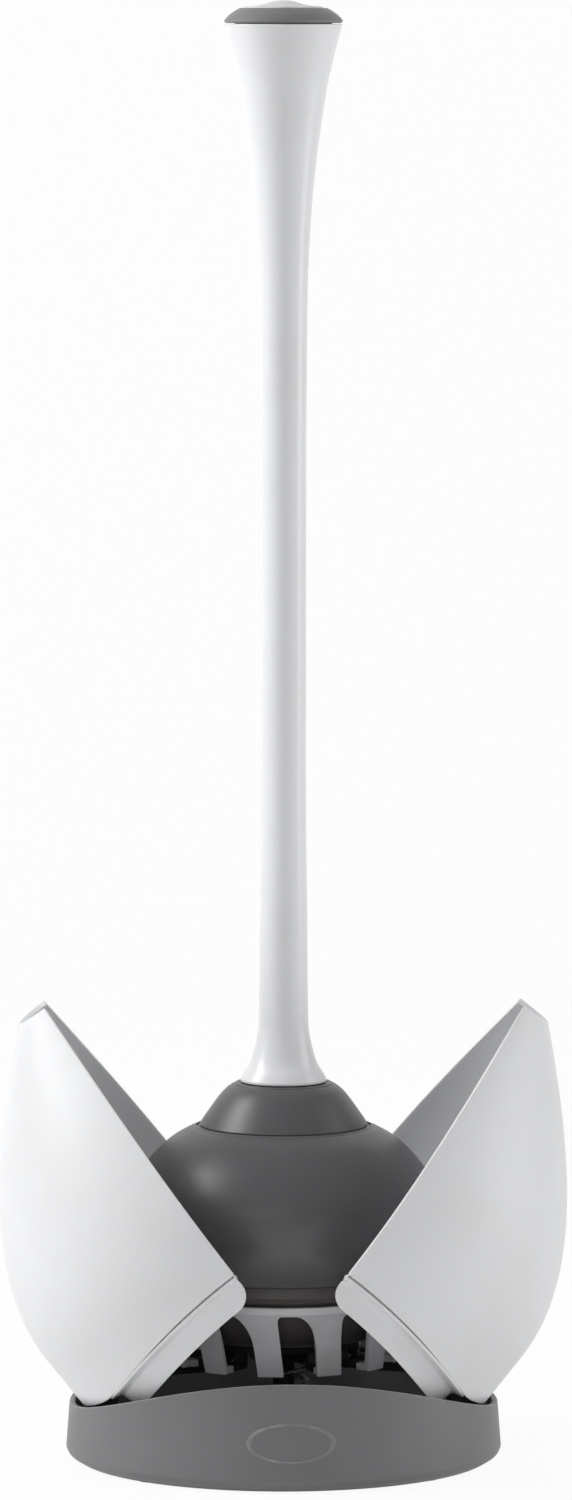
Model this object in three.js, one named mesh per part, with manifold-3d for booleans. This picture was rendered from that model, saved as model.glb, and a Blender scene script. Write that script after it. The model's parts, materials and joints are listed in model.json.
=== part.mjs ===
// A toilet plunger standing in its caddy: two half-dome doors on a low round base open by themselves
// when the basket that carries the plunger rises. Millimetres, +Z up, the front towards -Y, and the
// origin at the middle of the underside. The pose is the open one, with the plunger in the basket.
import * as THREE from "three";
import { mergeVertices } from "three/addons/utils/BufferGeometryUtils.js";
import Module from "manifold-3d";

const wasm = await Module();
wasm.setup();

// Driving dimensions
const clearance = 0.3; // between pieces that touch
const roundSteps = 48; // facets round the large shells
const bodySteps = 36; // facets round the cup and the handle
const smallSteps = 16; // facets round pins, screws and posts

const baseRadius = 80.7; // widest, just above the floor
const baseDraft = 2.7; // how far the wall leans in up to the rim
const baseWall = 2.2;
const baseEdge = 4.4; // rounding at the foot of the wall
const rimSideHeight = 21; // the rim is a saddle: low at the sides,
const rimRise = 19; // and this much higher at the front and back
const padHeight = 1.3;
const padRadius = 5.5;
const padLift = 0.4; // the base stands this far off the floor on its pads
const ledgeThickness = 2.4;
const ledgeWidth = 16;
const floorThickness = 2;

const openAngle = THREE.MathUtils.degToRad(37.3);
const basketTravel = 30;
const pivotInset = 12; // hinge axis to the outside of the rim
const pivotHeight = 31.3;
const domeHeight = 154.8; // top of the closed doors
const domeOverhang = 1.9; // the closed doors stand proud of the rim
const doorWall = 2.5;
const mouthRadius = 12; // hole that the handle passes through
const seamGap = 0.5; // between the closed doors
const rimGap = 1.8; // closed doors to the rim
const sideEdgeHeight = 28.2; // the doors' straight lower edge at the sides, which swings inside the rim
const skirtInset = 4.6; // the recessed skirt below the doors' lower edge
const skirtDepth = 9.8;
const skirtCorner = 6.5;
const skirtWall = 2.2;
const skirtTurns = [59, 53.5]; // degrees from the seam to the skirt's end, at its top and low edge

const pinRadius = 1.5;
const barrelRadius = 4.4;
const runningGap = 0.25; // between a pin or post and its bore
const armWidth = 4.4;
const tipRadius = 2;
const kneeBack = 6; // the lever bends up to its tip from a knee this far back and this far down
const kneeDrop = 2.2;
const leverY = -2.6; // the left lever runs through the middle of a gap between two slats
const screwRadius = 1.5;
const screwHeadRadius = 2.9;
const screwHeadHeight = 1.7;

const basketTop = 63;
const basketRadius = 49.3;
const basketFootRadius = 42.3;
const basketFootHeight = 36.4;
const basketWall = 2;
const slatCount = 12;
const slatWidth = 9.4;
const slatPhase = THREE.MathUtils.degToRad(-100); // first slat, from +X
const slatHeadHeight = 1.8; // solid wall between the ring and the gaps
const slatTightCorner = 1;
const footThickness = 2.5;
const spokeWidth = 5;
const footReach = 6.6; // how far the feet turn in, up to the hub's spokes
const hubRise = 6; // the hub plate stands this far above the feet, to leave room for the arms
const postRadius = 4;
const postTop = 58;
const springWire = 0.9;
const springRadius = 8.6;
const springTurns = 9;
const sleeveWall = 2.4;

const cupTop = 139.7;
const cupRadius = 57.5;
const cupBottom = 70.6;
const cupMouthRadius = 50.5;
const cupWall = 3.4;
const flangeBottom = 46.2;
const flangeRoom = 5.3; // between the drain flange's narrow end and the basket's feet
const flangeWall = 2.6;
const clampRadius = 3.6;

const handleBottom = 140.2;
const handleTop = 529.8;
const handleNeckRadius = 8.3;
const handleFootRadius = 15.9;
const handleTopRadius = 21.6;
const handleWall = 2.6;
const capHeight = 5.9;
const insertRadius = 14.6;

// Worked out from the driving dimensions
const rimRadius = baseRadius - baseDraft;
const ledgeBottom = padLift;
const floorBottom = ledgeBottom + ledgeThickness + clearance;
const floorTop = floorBottom + floorThickness;
const domeRadius = rimRadius + domeOverhang;
const skirtRadius = domeRadius - skirtInset;
const pivotReach = rimRadius - pivotInset;
const flangeTopRadius = cupMouthRadius - cupWall - clearance;
const flangeBottomRadius = basketFootRadius - basketWall - flangeRoom;
const hubPlateBottom = basketFootHeight + hubRise;

// The arm lifts the hub plate through the basket's travel while its door turns through openAngle.
const tipLift = hubPlateBottom - clearance - tipRadius - pivotHeight;
const armLength = armLengthFor(tipLift, basketTravel, openAngle);
const armAngleOpen = Math.asin(tipLift / armLength);
const armAngleClosed = armAngleOpen - openAngle;
const sleeveBore = springRadius + springWire + 1;
const sleeveRadius = sleeveBore + sleeveWall;
const tipReachClosed = pivotReach - armLength * Math.cos(armAngleClosed);
const hubRadius = tipReachClosed + tipRadius + 2.3;

const finishes = {
  doorWhite: { color: 0xe9eaec, roughness: 0.42, metalness: 0 },
  handleWhite: { color: 0xeeeff1, roughness: 0.3, metalness: 0 },
  basketWhite: { color: 0xd9dadd, roughness: 0.45, metalness: 0 },
  baseGrey: { color: 0x77777a, roughness: 0.5, metalness: 0 },
  gripGrey: { color: 0x707274, roughness: 0.65, metalness: 0 },
  insertPale: { color: 0xdcdcdd, roughness: 0.5, metalness: 0 },
  rubberGrey: { color: 0x4b4b4d, roughness: 0.55, metalness: 0 },
  rubberDark: { color: 0x303032, roughness: 0.6, metalness: 0 },
  innerBlack: { color: 0x1c1c1e, roughness: 0.6, metalness: 0 },
  steel: { color: 0xa8abaf, roughness: 0.3, metalness: 1 },
};

const product = new THREE.Group();

// The length of an arm whose tip starts lift above the pivot and falls by travel over the angle.
function armLengthFor(lift, travel, angle) {
  const chord = travel / (2 * Math.sin(angle / 2));
  let length = chord;
  for (let i = 0; i < 20; i++) {
    length = chord / Math.cos(Math.asin(lift / length) - angle / 2);
  }
  return length;
}

// Solids: geometry to manifold and back
function solid(geometry) {
  const bare = new THREE.BufferGeometry();
  const source = geometry.index ? geometry.toNonIndexed() : geometry;
  bare.setAttribute("position", source.getAttribute("position"));
  const merged = mergeVertices(bare, 1e-4);
  return new wasm.Manifold(
    new wasm.Mesh({
      numProp: 3,
      vertProperties: merged.attributes.position.array,
      triVerts: new Uint32Array(merged.index.array),
    }),
  );
}

function shapeOf(body) {
  const mesh = body.getMesh();
  const geometry = new THREE.BufferGeometry();
  geometry.setAttribute("position", new THREE.BufferAttribute(mesh.vertProperties, 3));
  geometry.setIndex(new THREE.BufferAttribute(mesh.triVerts, 1));
  geometry.computeVertexNormals();
  return geometry;
}

function union(bodies) {
  return bodies.reduce((all, body) => all.add(body));
}

function outline(points) {
  return new THREE.Shape(points.map(([x, y]) => new THREE.Vector2(x, y)));
}

// A ring or a solid of revolution about Z from [radius, height] points. A profile that starts and
// ends on the axis is a solid body, and any other closes on itself.
function turned(points, steps = roundSteps) {
  const area = points.reduce((sum, [x, y], i) => {
    const [nextX, nextY] = points[(i + 1) % points.length];
    return sum + x * nextY - nextX * y;
  }, 0);
  const ordered = area > 0 ? points : [...points].reverse();
  const onAxis = ordered.some(([radius]) => radius === 0);
  let profile = ordered;
  if (onAxis) {
    const first = ordered.findIndex(([radius], i) => {
      const previous = ordered[(i + ordered.length - 1) % ordered.length];
      return radius === 0 && previous[0] === 0;
    });
    profile = [...ordered.slice(first), ...ordered.slice(0, first)];
  } else {
    profile = [...ordered, ordered[0]];
  }
  const vectors = profile.map(([radius, height]) => new THREE.Vector2(radius, height));
  return new THREE.LatheGeometry(vectors, steps).rotateX(Math.PI / 2);
}

// Prisms along Z, X and Y. The outline is in (x, y), (y, z) and (x, z).
function prismZ(shape, from, to, curveSegments = 8) {
  const settings = { depth: to - from, bevelEnabled: false, curveSegments };
  return new THREE.ExtrudeGeometry(shape, settings).translate(0, 0, from);
}

function prismX(shape, from, to, curveSegments = 8) {
  const turn = new THREE.Matrix4().makeBasis(
    new THREE.Vector3(0, 1, 0),
    new THREE.Vector3(0, 0, 1),
    new THREE.Vector3(1, 0, 0),
  );
  return prismZ(shape, from, to, curveSegments).applyMatrix4(turn);
}

function prismY(shape, from, to, curveSegments = 8) {
  const turn = new THREE.Matrix4().makeBasis(
    new THREE.Vector3(1, 0, 0),
    new THREE.Vector3(0, 0, 1),
    new THREE.Vector3(0, -1, 0),
  );
  return prismZ(shape, -to, -from, curveSegments).applyMatrix4(turn);
}

function rod(radius, from, to, steps = smallSteps) {
  return turned([[0, from], [radius, from], [radius, to], [0, to]], steps);
}

function box(low, high) {
  const size = high.map((value, i) => value - low[i]);
  const middle = high.map((value, i) => (value + low[i]) / 2);
  return new THREE.BoxGeometry(...size).translate(...middle);
}

// A screw on the Z axis: its head's underside is at zero, and its shank runs down.
function screw(length) {
  return turned(
    [
      [0, -length],
      [screwRadius * 0.6, -length],
      [screwRadius, -length + screwRadius],
      [screwRadius, 0],
      [screwHeadRadius, 0],
      [screwHeadRadius, screwHeadHeight * 0.55],
      [screwHeadRadius * 0.8, screwHeadHeight],
      [0, screwHeadHeight],
    ],
    12,
  );
}

function part(name, geometry, finish, parent = product) {
  const mesh = new THREE.Mesh(geometry, new THREE.MeshStandardMaterial(finishes[finish]));
  mesh.name = name;
  parent.add(mesh);
  return mesh;
}

// Height of the saddle rim where it is this far in front of or behind the middle
function saddleHeight(y) {
  return rimSideHeight + rimRise * (y / rimRadius) ** 2;
}

// The saddle as an outline in (y, z), lifted, with flat stretches no lower than lowest, closed
// through the height closeAt
function saddleOutline(lift, lowest, closeAt) {
  const reach = baseRadius * 1.15;
  const steps = 28;
  const points = [[-reach, closeAt]];
  for (let i = 0; i <= steps; i++) {
    const y = -reach + (2 * reach * i) / steps;
    points.push([y, Math.max(saddleHeight(y) + lift, lowest)]);
  }
  points.push([reach, closeAt]);
  return outline(points);
}

// The base: a leaning wall with a rounded foot, a ledge inside it, and a saddle rim
function baseShell() {
  const wallTop = rimSideHeight + rimRise + 4;
  const foot = ledgeBottom;
  const lean = baseDraft / (rimSideHeight + rimRise - baseEdge);
  const radiusAt = (z) => baseRadius - (z - baseEdge) * lean;
  const rounded = [0, 30, 60, 90].map((degrees) => {
    const angle = THREE.MathUtils.degToRad(degrees);
    const inset = baseEdge * 0.55;
    return [
      baseRadius - inset + inset * Math.sin(angle),
      foot + (baseEdge - foot) * (1 - Math.cos(angle)),
    ];
  });
  const ledgeInner = baseRadius - baseDraft - ledgeWidth;
  const profile = [
    [ledgeInner, foot],
    ...rounded,
    [radiusAt(wallTop), wallTop],
    [radiusAt(wallTop) - baseWall, wallTop],
    [radiusAt(foot + ledgeThickness) - baseWall - 0.6, foot + ledgeThickness],
    [ledgeInner, foot + ledgeThickness],
  ];
  const above = prismX(saddleOutline(0, 0, wallTop + 60), -baseRadius - 5, baseRadius + 5);
  let body = solid(turned(profile, roundSteps + 12)).subtract(solid(above));
  for (const [x, y] of padPlaces()) {
    const pocket = rod(padRadius + clearance, -1, padHeight + clearance).translate(x, y, 0);
    body = body.subtract(solid(pocket));
  }
  return shapeOf(body);
}

function padPlaces() {
  const reach = rimRadius - ledgeWidth / 2;
  return [45, 135, 225, 315].map((degrees) => {
    const angle = THREE.MathUtils.degToRad(degrees);
    return [reach * Math.cos(angle), reach * Math.sin(angle)];
  });
}

// Screws that hold a hinge block to the floor plate, from the block's own middle
const blockScrewY = 9;
const blockFootHeight = 2.4;
const blockReachIn = basketFootRadius + 6.2;
const blockScrewX = blockReachIn + screwHeadRadius + 1.6;
const earThickness = 4;
const barrelHalf = 13; // half the length of the hinge barrel
const earInner = barrelHalf + clearance;
const pinHalf = earInner + earThickness + 1;
const floorHoleRadius = screwRadius + runningGap;

function floorPlate() {
  const radius = baseRadius - baseDraft - baseWall - 1.2;
  let body = solid(rod(radius, floorBottom, floorTop, roundSteps));
  const holes = [[0, 0]];
  for (const side of [-1, 1]) {
    holes.push([side * blockScrewX, -blockScrewY], [side * blockScrewX, blockScrewY]);
  }
  for (const [x, y] of holes) {
    body = body.subtract(solid(rod(floorHoleRadius, 0, floorTop + 1).translate(x, y, 0)));
  }
  return shapeOf(body);
}

// A block on the floor with two ears that carry the door's pin. It is built for the left side.
function hingeBlock() {
  const bottom = floorTop + clearance;
  const footTop = bottom + blockFootHeight;
  const outer = pivotReach + barrelRadius;
  const halfY = earInner + earThickness;
  const ear = new THREE.Shape();
  ear.moveTo(-outer, bottom);
  ear.lineTo(-blockReachIn - 4, bottom);
  ear.lineTo(-blockReachIn - 4, footTop);
  ear.lineTo(-pivotReach + barrelRadius, footTop + 8);
  ear.lineTo(-pivotReach + barrelRadius, pivotHeight);
  ear.absarc(-pivotReach, pivotHeight, barrelRadius, 0, Math.PI, false);
  ear.lineTo(-outer, bottom);
  const foot = box([-outer, -halfY, bottom], [-blockReachIn, halfY, footTop]);
  let body = solid(foot);
  body = body.add(solid(prismY(ear, earInner, halfY)));
  body = body.add(solid(prismY(ear, -halfY, -earInner)));
  const bore = rod(pinRadius + runningGap / 5, -pinHalf - 5, pinHalf + 5).rotateX(Math.PI / 2);
  body = body.subtract(solid(bore.translate(-pivotReach, 0, pivotHeight)));
  for (const y of [-blockScrewY, blockScrewY]) {
    const hole = rod(floorHoleRadius, bottom - 1, footTop + 1).translate(-blockScrewX, y, 0);
    body = body.subtract(solid(hole));
  }
  return shapeOf(body);
}

// A pin with a head at one end, along Y
function hingePin() {
  const headRadius = pinRadius * 1.7;
  const points = [
    [0, -pinHalf],
    [pinRadius * 0.7, -pinHalf],
    [pinRadius, -pinHalf + 0.6],
    [pinRadius, pinHalf],
    [headRadius, pinHalf],
    [headRadius, pinHalf + 1.2],
    [0, pinHalf + 1.2],
  ];
  return turned(points, smallSteps).rotateX(Math.PI / 2).translate(-pivotReach, 0, pivotHeight);
}

// The post that guides the basket, in a socket that the sleeve sinks into. The spring stands between.
const socketBore = sleeveRadius + 0.4;
const socketRadius = socketBore + 1.9;
const socketHeight = hubPlateBottom - basketTravel - 1;
const postFlangeTop = floorTop + clearance + 1.6;
const postBore = floorHoleRadius;

function guidePost() {
  const bottom = floorTop + clearance;
  const boreDepth = 12;
  const topBoreDepth = 9;
  return turned(
    [
      [postBore, bottom],
      [socketRadius, bottom],
      [socketRadius, socketHeight],
      [socketBore, socketHeight],
      [socketBore, postFlangeTop],
      [postRadius, postFlangeTop],
      [postRadius, postTop],
      [stopStemRadius + clearance, postTop],
      [stopStemRadius + clearance, postTop - topBoreDepth],
      [0, postTop - topBoreDepth],
      [0, bottom + boreDepth],
      [postBore, bottom + boreDepth],
    ],
    24,
  );
}

// The cap on the post that stops the basket at the top of its travel
const stopStemRadius = 1.9;

function postStop() {
  const radius = postRadius * 2;
  const bottom = postTop + clearance;
  return turned(
    [
      [0, postTop - 8],
      [stopStemRadius, postTop - 8],
      [stopStemRadius, bottom],
      [radius, bottom],
      [radius, bottom + 1.2],
      [radius - 1, bottom + 2.2],
      [0, bottom + 2.2],
    ],
    smallSteps,
  );
}

function returnSpring() {
  const bottom = postFlangeTop + clearance + springWire;
  const top = sleeveCapBottom - clearance - springWire;
  const turns = springTurns;
  class Helix extends THREE.Curve {
    getPoint(t) {
      const angle = 2 * Math.PI * turns * t;
      const x = springRadius * Math.cos(angle);
      const y = springRadius * Math.sin(angle);
      return new THREE.Vector3(x, y, bottom + (top - bottom) * t);
    }
  }
  const section = new THREE.Shape().absarc(0, 0, springWire, 0, 2 * Math.PI, false);
  const settings = { steps: turns * 12, extrudePath: new Helix(), curveSegments: 3 };
  return new THREE.ExtrudeGeometry(section, settings);
}

// The basket: a ring on slats that lean in to feet. Its hub carries the feet on spokes, with a raised
// plate and a sleeve that slides on the post with the spring inside it.
const ringHeight = 3.4;
const ringBore = basketRadius - basketWall - 0.2; // the drain flange seats on its top edge
const sleeveBottom = postFlangeTop + basketTravel + clearance * 1.4;
const sleeveTop = postTop - clearance;
const sleeveCapBottom = sleeveTop - 3;

function basketWallBody() {
  const shoulder = basketTop - ringHeight;
  const slatTopRadius = basketRadius - 1.9;
  const profile = [
    [basketFootRadius - basketWall, basketFootHeight],
    [basketFootRadius, basketFootHeight],
    [basketFootRadius + 2.4, basketFootHeight + 13.6],
    [slatTopRadius, shoulder - 1.2],
    [basketRadius, shoulder],
    [basketRadius, basketTop - 0.8],
    [basketRadius - 0.8, basketTop],
    [ringBore, basketTop],
    [ringBore, shoulder],
    [slatTopRadius - basketWall, shoulder - 1.2],
    [basketFootRadius + 2.4 - basketWall, basketFootHeight + 13.6],
  ];
  return solid(turned(profile, slatCount * 4));
}

// The gap between two slats: seen from outside, its right top corner is a wide curve that sweeps into
// the next slat, and its left one is tight
function windowCutter() {
  const pitch = (2 * Math.PI * basketFootRadius) / slatCount;
  const half = (pitch - slatWidth) / 2;
  const top = basketTop - ringHeight - slatHeadHeight;
  const wide = half * 1.1;
  const bottom = basketFootHeight - 1;
  const gap = new THREE.Shape();
  gap.moveTo(half, bottom);
  gap.lineTo(half, top - wide);
  gap.absarc(half - wide, top - wide, wide, 0, Math.PI / 2, false);
  gap.lineTo(-half + slatTightCorner, top);
  gap.lineTo(-half, top - slatTightCorner);
  gap.lineTo(-half, bottom);
  gap.closePath();
  return solid(prismX(gap, basketFootRadius * 0.7, basketRadius + 4, 3));
}

function basketBody() {
  let body = basketWallBody();
  const cutter = windowCutter();
  const plateTop = hubPlateBottom + footThickness;
  const riser = 2.6;
  const spoke = outline([
    [basketFootRadius, basketFootHeight],
    [basketFootRadius + 0.4, basketFootHeight + footThickness],
    [hubRadius, basketFootHeight + footThickness],
    [hubRadius, plateTop],
    [hubRadius - riser, plateTop],
    [hubRadius - riser, basketFootHeight],
  ]);
  const spokeBody = solid(prismY(spoke, -spokeWidth / 2, spokeWidth / 2));
  const degrees = THREE.MathUtils.radToDeg;
  const pitch = 360 / slatCount;
  const plate = turned([
    [sleeveBore, hubPlateBottom],
    [hubRadius - riser / 2, hubPlateBottom],
    [hubRadius - riser / 2, plateTop],
    [sleeveBore, plateTop],
  ], 36);
  const sleeve = turned([
    [sleeveBore, sleeveBottom],
    [sleeveRadius, sleeveBottom],
    [sleeveRadius, sleeveTop],
    [postRadius + runningGap, sleeveTop],
    [postRadius + runningGap, sleeveCapBottom],
    [sleeveBore, sleeveCapBottom],
  ], 24);
  for (let i = 0; i < slatCount; i++) {
    const turn = degrees(slatPhase) + pitch * i;
    body = body.subtract(cutter.rotate([0, 0, turn + pitch / 2]));
  }
  const spokes = [];
  for (let i = 0; i < slatCount; i++) {
    spokes.push(spokeBody.rotate([0, 0, degrees(slatPhase) + pitch * i]));
  }
  return union([body, ...spokes, solid(plate), solid(sleeve)]);
}

// The cage with its feet, and the hub inside it, part at a round joint.
function basketPieces() {
  const body = basketBody();
  const joint = basketFootRadius - footReach;
  const inside = solid(rod(joint - clearance, -1, basketTop, roundSteps));
  const within = solid(rod(joint, -1, basketTop, roundSteps));
  return [shapeOf(body.subtract(within)), shapeOf(body.intersect(inside))];
}

// The closed dome, from its mouth down, as [radius, depth below the top], inset by a wall
function domeLine(inset, steps) {
  const shoulderDepth = 104;
  const start = new THREE.Vector2(mouthRadius, 0);
  const end = new THREE.Vector2(domeRadius, shoulderDepth);
  const curve = new THREE.CubicBezierCurve(
    start,
    start.clone().add(new THREE.Vector2(domeRadius * 0.52, domeRadius * 0.473)),
    end.clone().sub(new THREE.Vector2(0, domeRadius * 0.425)),
    end,
  );
  const line = curve.getPoints(steps).map((point, i) => {
    const tangent = curve.getTangent(i / steps);
    return [point.x - tangent.y * inset, point.y + tangent.x * inset];
  });
  const lowestDepth = domeHeight - rimSideHeight;
  line.push([domeRadius - 0.7 - inset, lowestDepth]);
  return line;
}

// Half a dome with a recessed skirt below its lower edge, closed and on the left
function doorShell() {
  const steps = 10;
  const outer = domeLine(0, steps);
  const inner = domeLine(doorWall, steps);
  inner[0][0] = mouthRadius; // the mouth's own edge is upright
  const toHeight = ([radius, depth]) => [radius, domeHeight - depth];
  const ring = [...outer.map(toHeight), ...inner.reverse().map(toHeight)];
  const reach = domeRadius + 5;
  const below = solid(prismX(saddleOutline(rimGap, sideEdgeHeight, -20), -reach, reach));
  let shell = solid(turned(ring)).subtract(below);

  const skirtTop = rimSideHeight + rimRise + rimGap + 6;
  const skirtRing = solid(turned([
    [skirtRadius - skirtWall, 0],
    [skirtRadius, 0],
    [skirtRadius, skirtTop - 2],
    [domeRadius - doorWall + 0.6, skirtTop + 1],
    [domeRadius - doorWall + 0.6, skirtTop + 3],
    [skirtRadius - skirtWall, skirtTop],
  ]));
  const skirtBelow = solid(prismX(saddleOutline(rimGap - skirtDepth, 0, -20), -reach, reach));
  const low = rimSideHeight + rimRise + rimGap - skirtDepth;
  const [faceEndTop, faceEnd] = skirtTurns.map(
    (turn) => -skirtRadius * Math.sin(THREE.MathUtils.degToRad(turn)),
  );
  const face = new THREE.Shape();
  face.moveTo(-seamGap / 2, skirtTop + 20);
  face.lineTo(faceEndTop - 6, skirtTop + 20);
  face.lineTo(faceEndTop, low - 2);
  face.lineTo(faceEnd, low - 9);
  face.lineTo(faceEnd, low - 30);
  face.lineTo(-seamGap / 2 - skirtCorner, low - 30);
  face.lineTo(-seamGap / 2 - skirtCorner, low);
  face.absarc(-seamGap / 2 - skirtCorner, low + skirtCorner, skirtCorner, -Math.PI / 2, 0, false);
  face.lineTo(-seamGap / 2, skirtTop + 20);
  const skirt = skirtRing.subtract(skirtBelow).intersect(solid(prismY(face, -reach, reach, 6)));
  shell = shell.add(skirt);
  const half = box([-reach, -reach, -5], [-seamGap / 2, reach, domeHeight + 5]);
  shell = shell.intersect(solid(half));
  for (const y of armScrewPlaces) {
    shell = shell.add(screwBoss(y));
  }
  const pilot = domeRadius - doorWall / 2;
  for (const y of armScrewPlaces) {
    const hole = rod(screwRadius + runningGap / 5, armPlateX - 2, pilot - 1.2, 16);
    const placed = hole.rotateY(-Math.PI / 2).translate(0, y, armScrewHeight);
    shell = shell.subtract(solid(placed));
  }
  return shapeOf(shell);
}

// The arm's plate, against bosses inside the door
const armScrewPlaces = [-9, 9];
const armScrewHeight = pivotHeight + 11;
const armPlateX = rimRadius - 6.6; // inner face of the plate
const armPlateThickness = 2.4;

function screwBoss(y) {
  const start = armPlateX + armPlateThickness + clearance;
  const boss = rod(3.6, start, domeRadius - doorWall / 2, 16);
  const placed = boss.rotateY(-Math.PI / 2).translate(0, y, armScrewHeight);
  const dome = turned([
    [0, rimSideHeight],
    [domeRadius - 1, rimSideHeight],
    [domeRadius - 1, domeHeight / 2],
    [0, domeHeight / 2],
  ]);
  return solid(placed).intersect(solid(dome));
}

// A bar with round ends from one point to another
function link(from, to, radius) {
  const angle = Math.atan2(to[1] - from[1], to[0] - from[0]);
  const bar = new THREE.Shape();
  bar.absarc(to[0], to[1], radius, angle - Math.PI / 2, angle + Math.PI / 2, false);
  bar.absarc(from[0], from[1], radius, angle + Math.PI / 2, angle + 1.5 * Math.PI, false);
  bar.closePath();
  return bar;
}

// The arm: a barrel on the pin, a plate on the door, and a lever that reaches under the hub plate
function doorArm() {
  const barrel = rod(barrelRadius, -barrelHalf, barrelHalf).rotateX(Math.PI / 2);
  const plateTop = armScrewHeight + 4.5;
  const plateBottom = pivotHeight - 1;
  const plate = box(
    [-armPlateX - armPlateThickness, -barrelHalf, plateBottom],
    [-armPlateX, barrelHalf, plateTop],
  );
  const web = outline([
    [-pivotReach, pivotHeight - barrelRadius + 1],
    [-pivotReach, pivotHeight + barrelRadius - 0.4],
    [-armPlateX - 0.5, pivotHeight + barrelRadius + 2],
    [-armPlateX - 0.5, pivotHeight - 1],
  ]);
  const pivot = [-pivotReach, pivotHeight];
  const tip = [
    -pivotReach + armLength * Math.cos(armAngleClosed),
    pivotHeight + armLength * Math.sin(armAngleClosed),
  ];
  const knee = [tip[0] - kneeBack, tip[1] - kneeDrop];
  let body = union([
    solid(barrel.translate(-pivotReach, 0, pivotHeight)),
    solid(plate),
    solid(prismY(web, -barrelHalf, barrelHalf)),
    solid(prismY(link(pivot, knee, tipRadius), leverY - armWidth / 2, leverY + armWidth / 2)),
    solid(prismY(link(knee, tip, tipRadius), leverY - armWidth / 2, leverY + armWidth / 2)),
  ]);
  const bore = rod(pinRadius + runningGap / 2, -barrelHalf - 2, barrelHalf + 2).rotateX(Math.PI / 2);
  body = body.subtract(solid(bore.translate(-pivotReach, 0, pivotHeight)));
  for (const y of armScrewPlaces) {
    const hole = rod(screwRadius + runningGap, armPlateX - 8, armPlateX + 6, 16);
    body = body.subtract(solid(hole.rotateY(-Math.PI / 2).translate(0, y, armScrewHeight)));
  }
  return shapeOf(body);
}

function cupOuter() {
  const bellTop = new THREE.Vector2(35.2, cupTop - 16.7);
  const shoulder = new THREE.SplineCurve([
    bellTop,
    new THREE.Vector2(42.6, cupTop - 21.4),
    new THREE.Vector2(50.4, cupTop - 29.3),
    new THREE.Vector2(cupRadius - 1.2, cupTop - 39),
    new THREE.Vector2(cupRadius, cupTop - 47.7),
    new THREE.Vector2(cupRadius - 1.6, cupTop - 57),
    new THREE.Vector2(cupMouthRadius, cupBottom),
  ]);
  const collar = new THREE.SplineCurve([
    new THREE.Vector2(18.6, cupTop),
    new THREE.Vector2(24.2, cupTop - 5.4),
    new THREE.Vector2(28.9, cupTop - 11.9),
    new THREE.Vector2(30.7, cupTop - 14.5),
  ]);
  const pair = (point) => [point.x, point.y];
  return [...collar.getPoints(3).map(pair), ...shoulder.getPoints(10).map(pair)];
}

// The rubber cup: a bell with a thick collar, open below, with a hole for the clamp screw
function cup() {
  const ceiling = cupTop - 12.4;
  const inner = new THREE.SplineCurve([
    new THREE.Vector2(cupMouthRadius - cupWall, cupBottom),
    new THREE.Vector2(cupRadius - 1.6 - cupWall, cupTop - 57),
    new THREE.Vector2(cupRadius - cupWall, cupTop - 47.7),
    new THREE.Vector2(cupRadius - 1.4 - cupWall, cupTop - 39.5),
    new THREE.Vector2(50.4 - cupWall, cupTop - 31.5),
    new THREE.Vector2(38.5, cupTop - 23),
    new THREE.Vector2(28, ceiling - 2.4),
  ]);
  return turned([
    ...cupOuter(),
    ...inner.getPoints(7).map((point) => [point.x, point.y]),
    [20, ceiling],
    [clampRadius + clearance, ceiling],
    [clampRadius + clearance, cupTop],
  ], bodySteps);
}

// The drain flange: a lip that seats in the basket's ring, an upstand inside the cup's mouth, and a
// bell that narrows below
function drainFlange() {
  const lipTop = cupBottom - clearance;
  const upstand = 6;
  const lipRadius = ringBore + 0.6;
  const seatRadius = ringBore - 0.9;
  const bell = new THREE.SplineCurve([
    new THREE.Vector2(seatRadius - 2.6, basketTop - ringHeight - 1),
    new THREE.Vector2(flangeBottomRadius + 4.8, basketTop - 11),
    new THREE.Vector2(flangeBottomRadius, flangeBottom),
  ]);
  const outer = bell.getPoints(3).map((point) => [point.x, point.y]);
  const innerBell = [...outer].reverse().map(([radius, height]) => [radius - flangeWall, height]);
  return turned([
    [flangeTopRadius, lipTop + upstand],
    [flangeTopRadius, lipTop],
    [lipRadius, lipTop],
    [lipRadius, basketTop + 2.4],
    [seatRadius, basketTop + clearance],
    ...outer,
    ...innerBell,
    [seatRadius - flangeWall - 1, basketTop],
    [flangeTopRadius - flangeWall, lipTop + 1],
    [flangeTopRadius - flangeWall, lipTop + upstand],
  ], bodySteps);
}

// A washer inside the cup and a screw up into the handle clamp the rubber between them
const washerTop = cupTop - 12.4 - clearance;
const washerThickness = 2.4;

function clampWasher() {
  return turned([
    [clampRadius + clearance, washerTop - washerThickness],
    [15, washerTop - washerThickness],
    [16, washerTop - washerThickness + 1],
    [16, washerTop],
    [clampRadius + clearance, washerTop],
  ], 24);
}

function clampScrew() {
  const seat = washerTop - washerThickness - clearance;
  const headRadius = clampRadius * 2;
  const headHeight = 4.2;
  const tip = handleBottom + clampDepth - 2;
  const head = new THREE.CylinderGeometry(headRadius, headRadius, headHeight, 6);
  const headBody = solid(head.rotateX(Math.PI / 2).translate(0, 0, seat - headHeight / 2));
  const shank = turned([
    [0, seat - 1],
    [clampRadius, seat - 1],
    [clampRadius, tip - 1.5],
    [clampRadius - 1.2, tip],
    [0, tip],
  ], smallSteps);
  return shapeOf(headBody.add(solid(shank)));
}

// The handle: a slim hollow rod that flares at both ends, open at the top under the cap
const clampDepth = 26;
const socketTop = handleBottom + clampDepth + 6;

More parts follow.
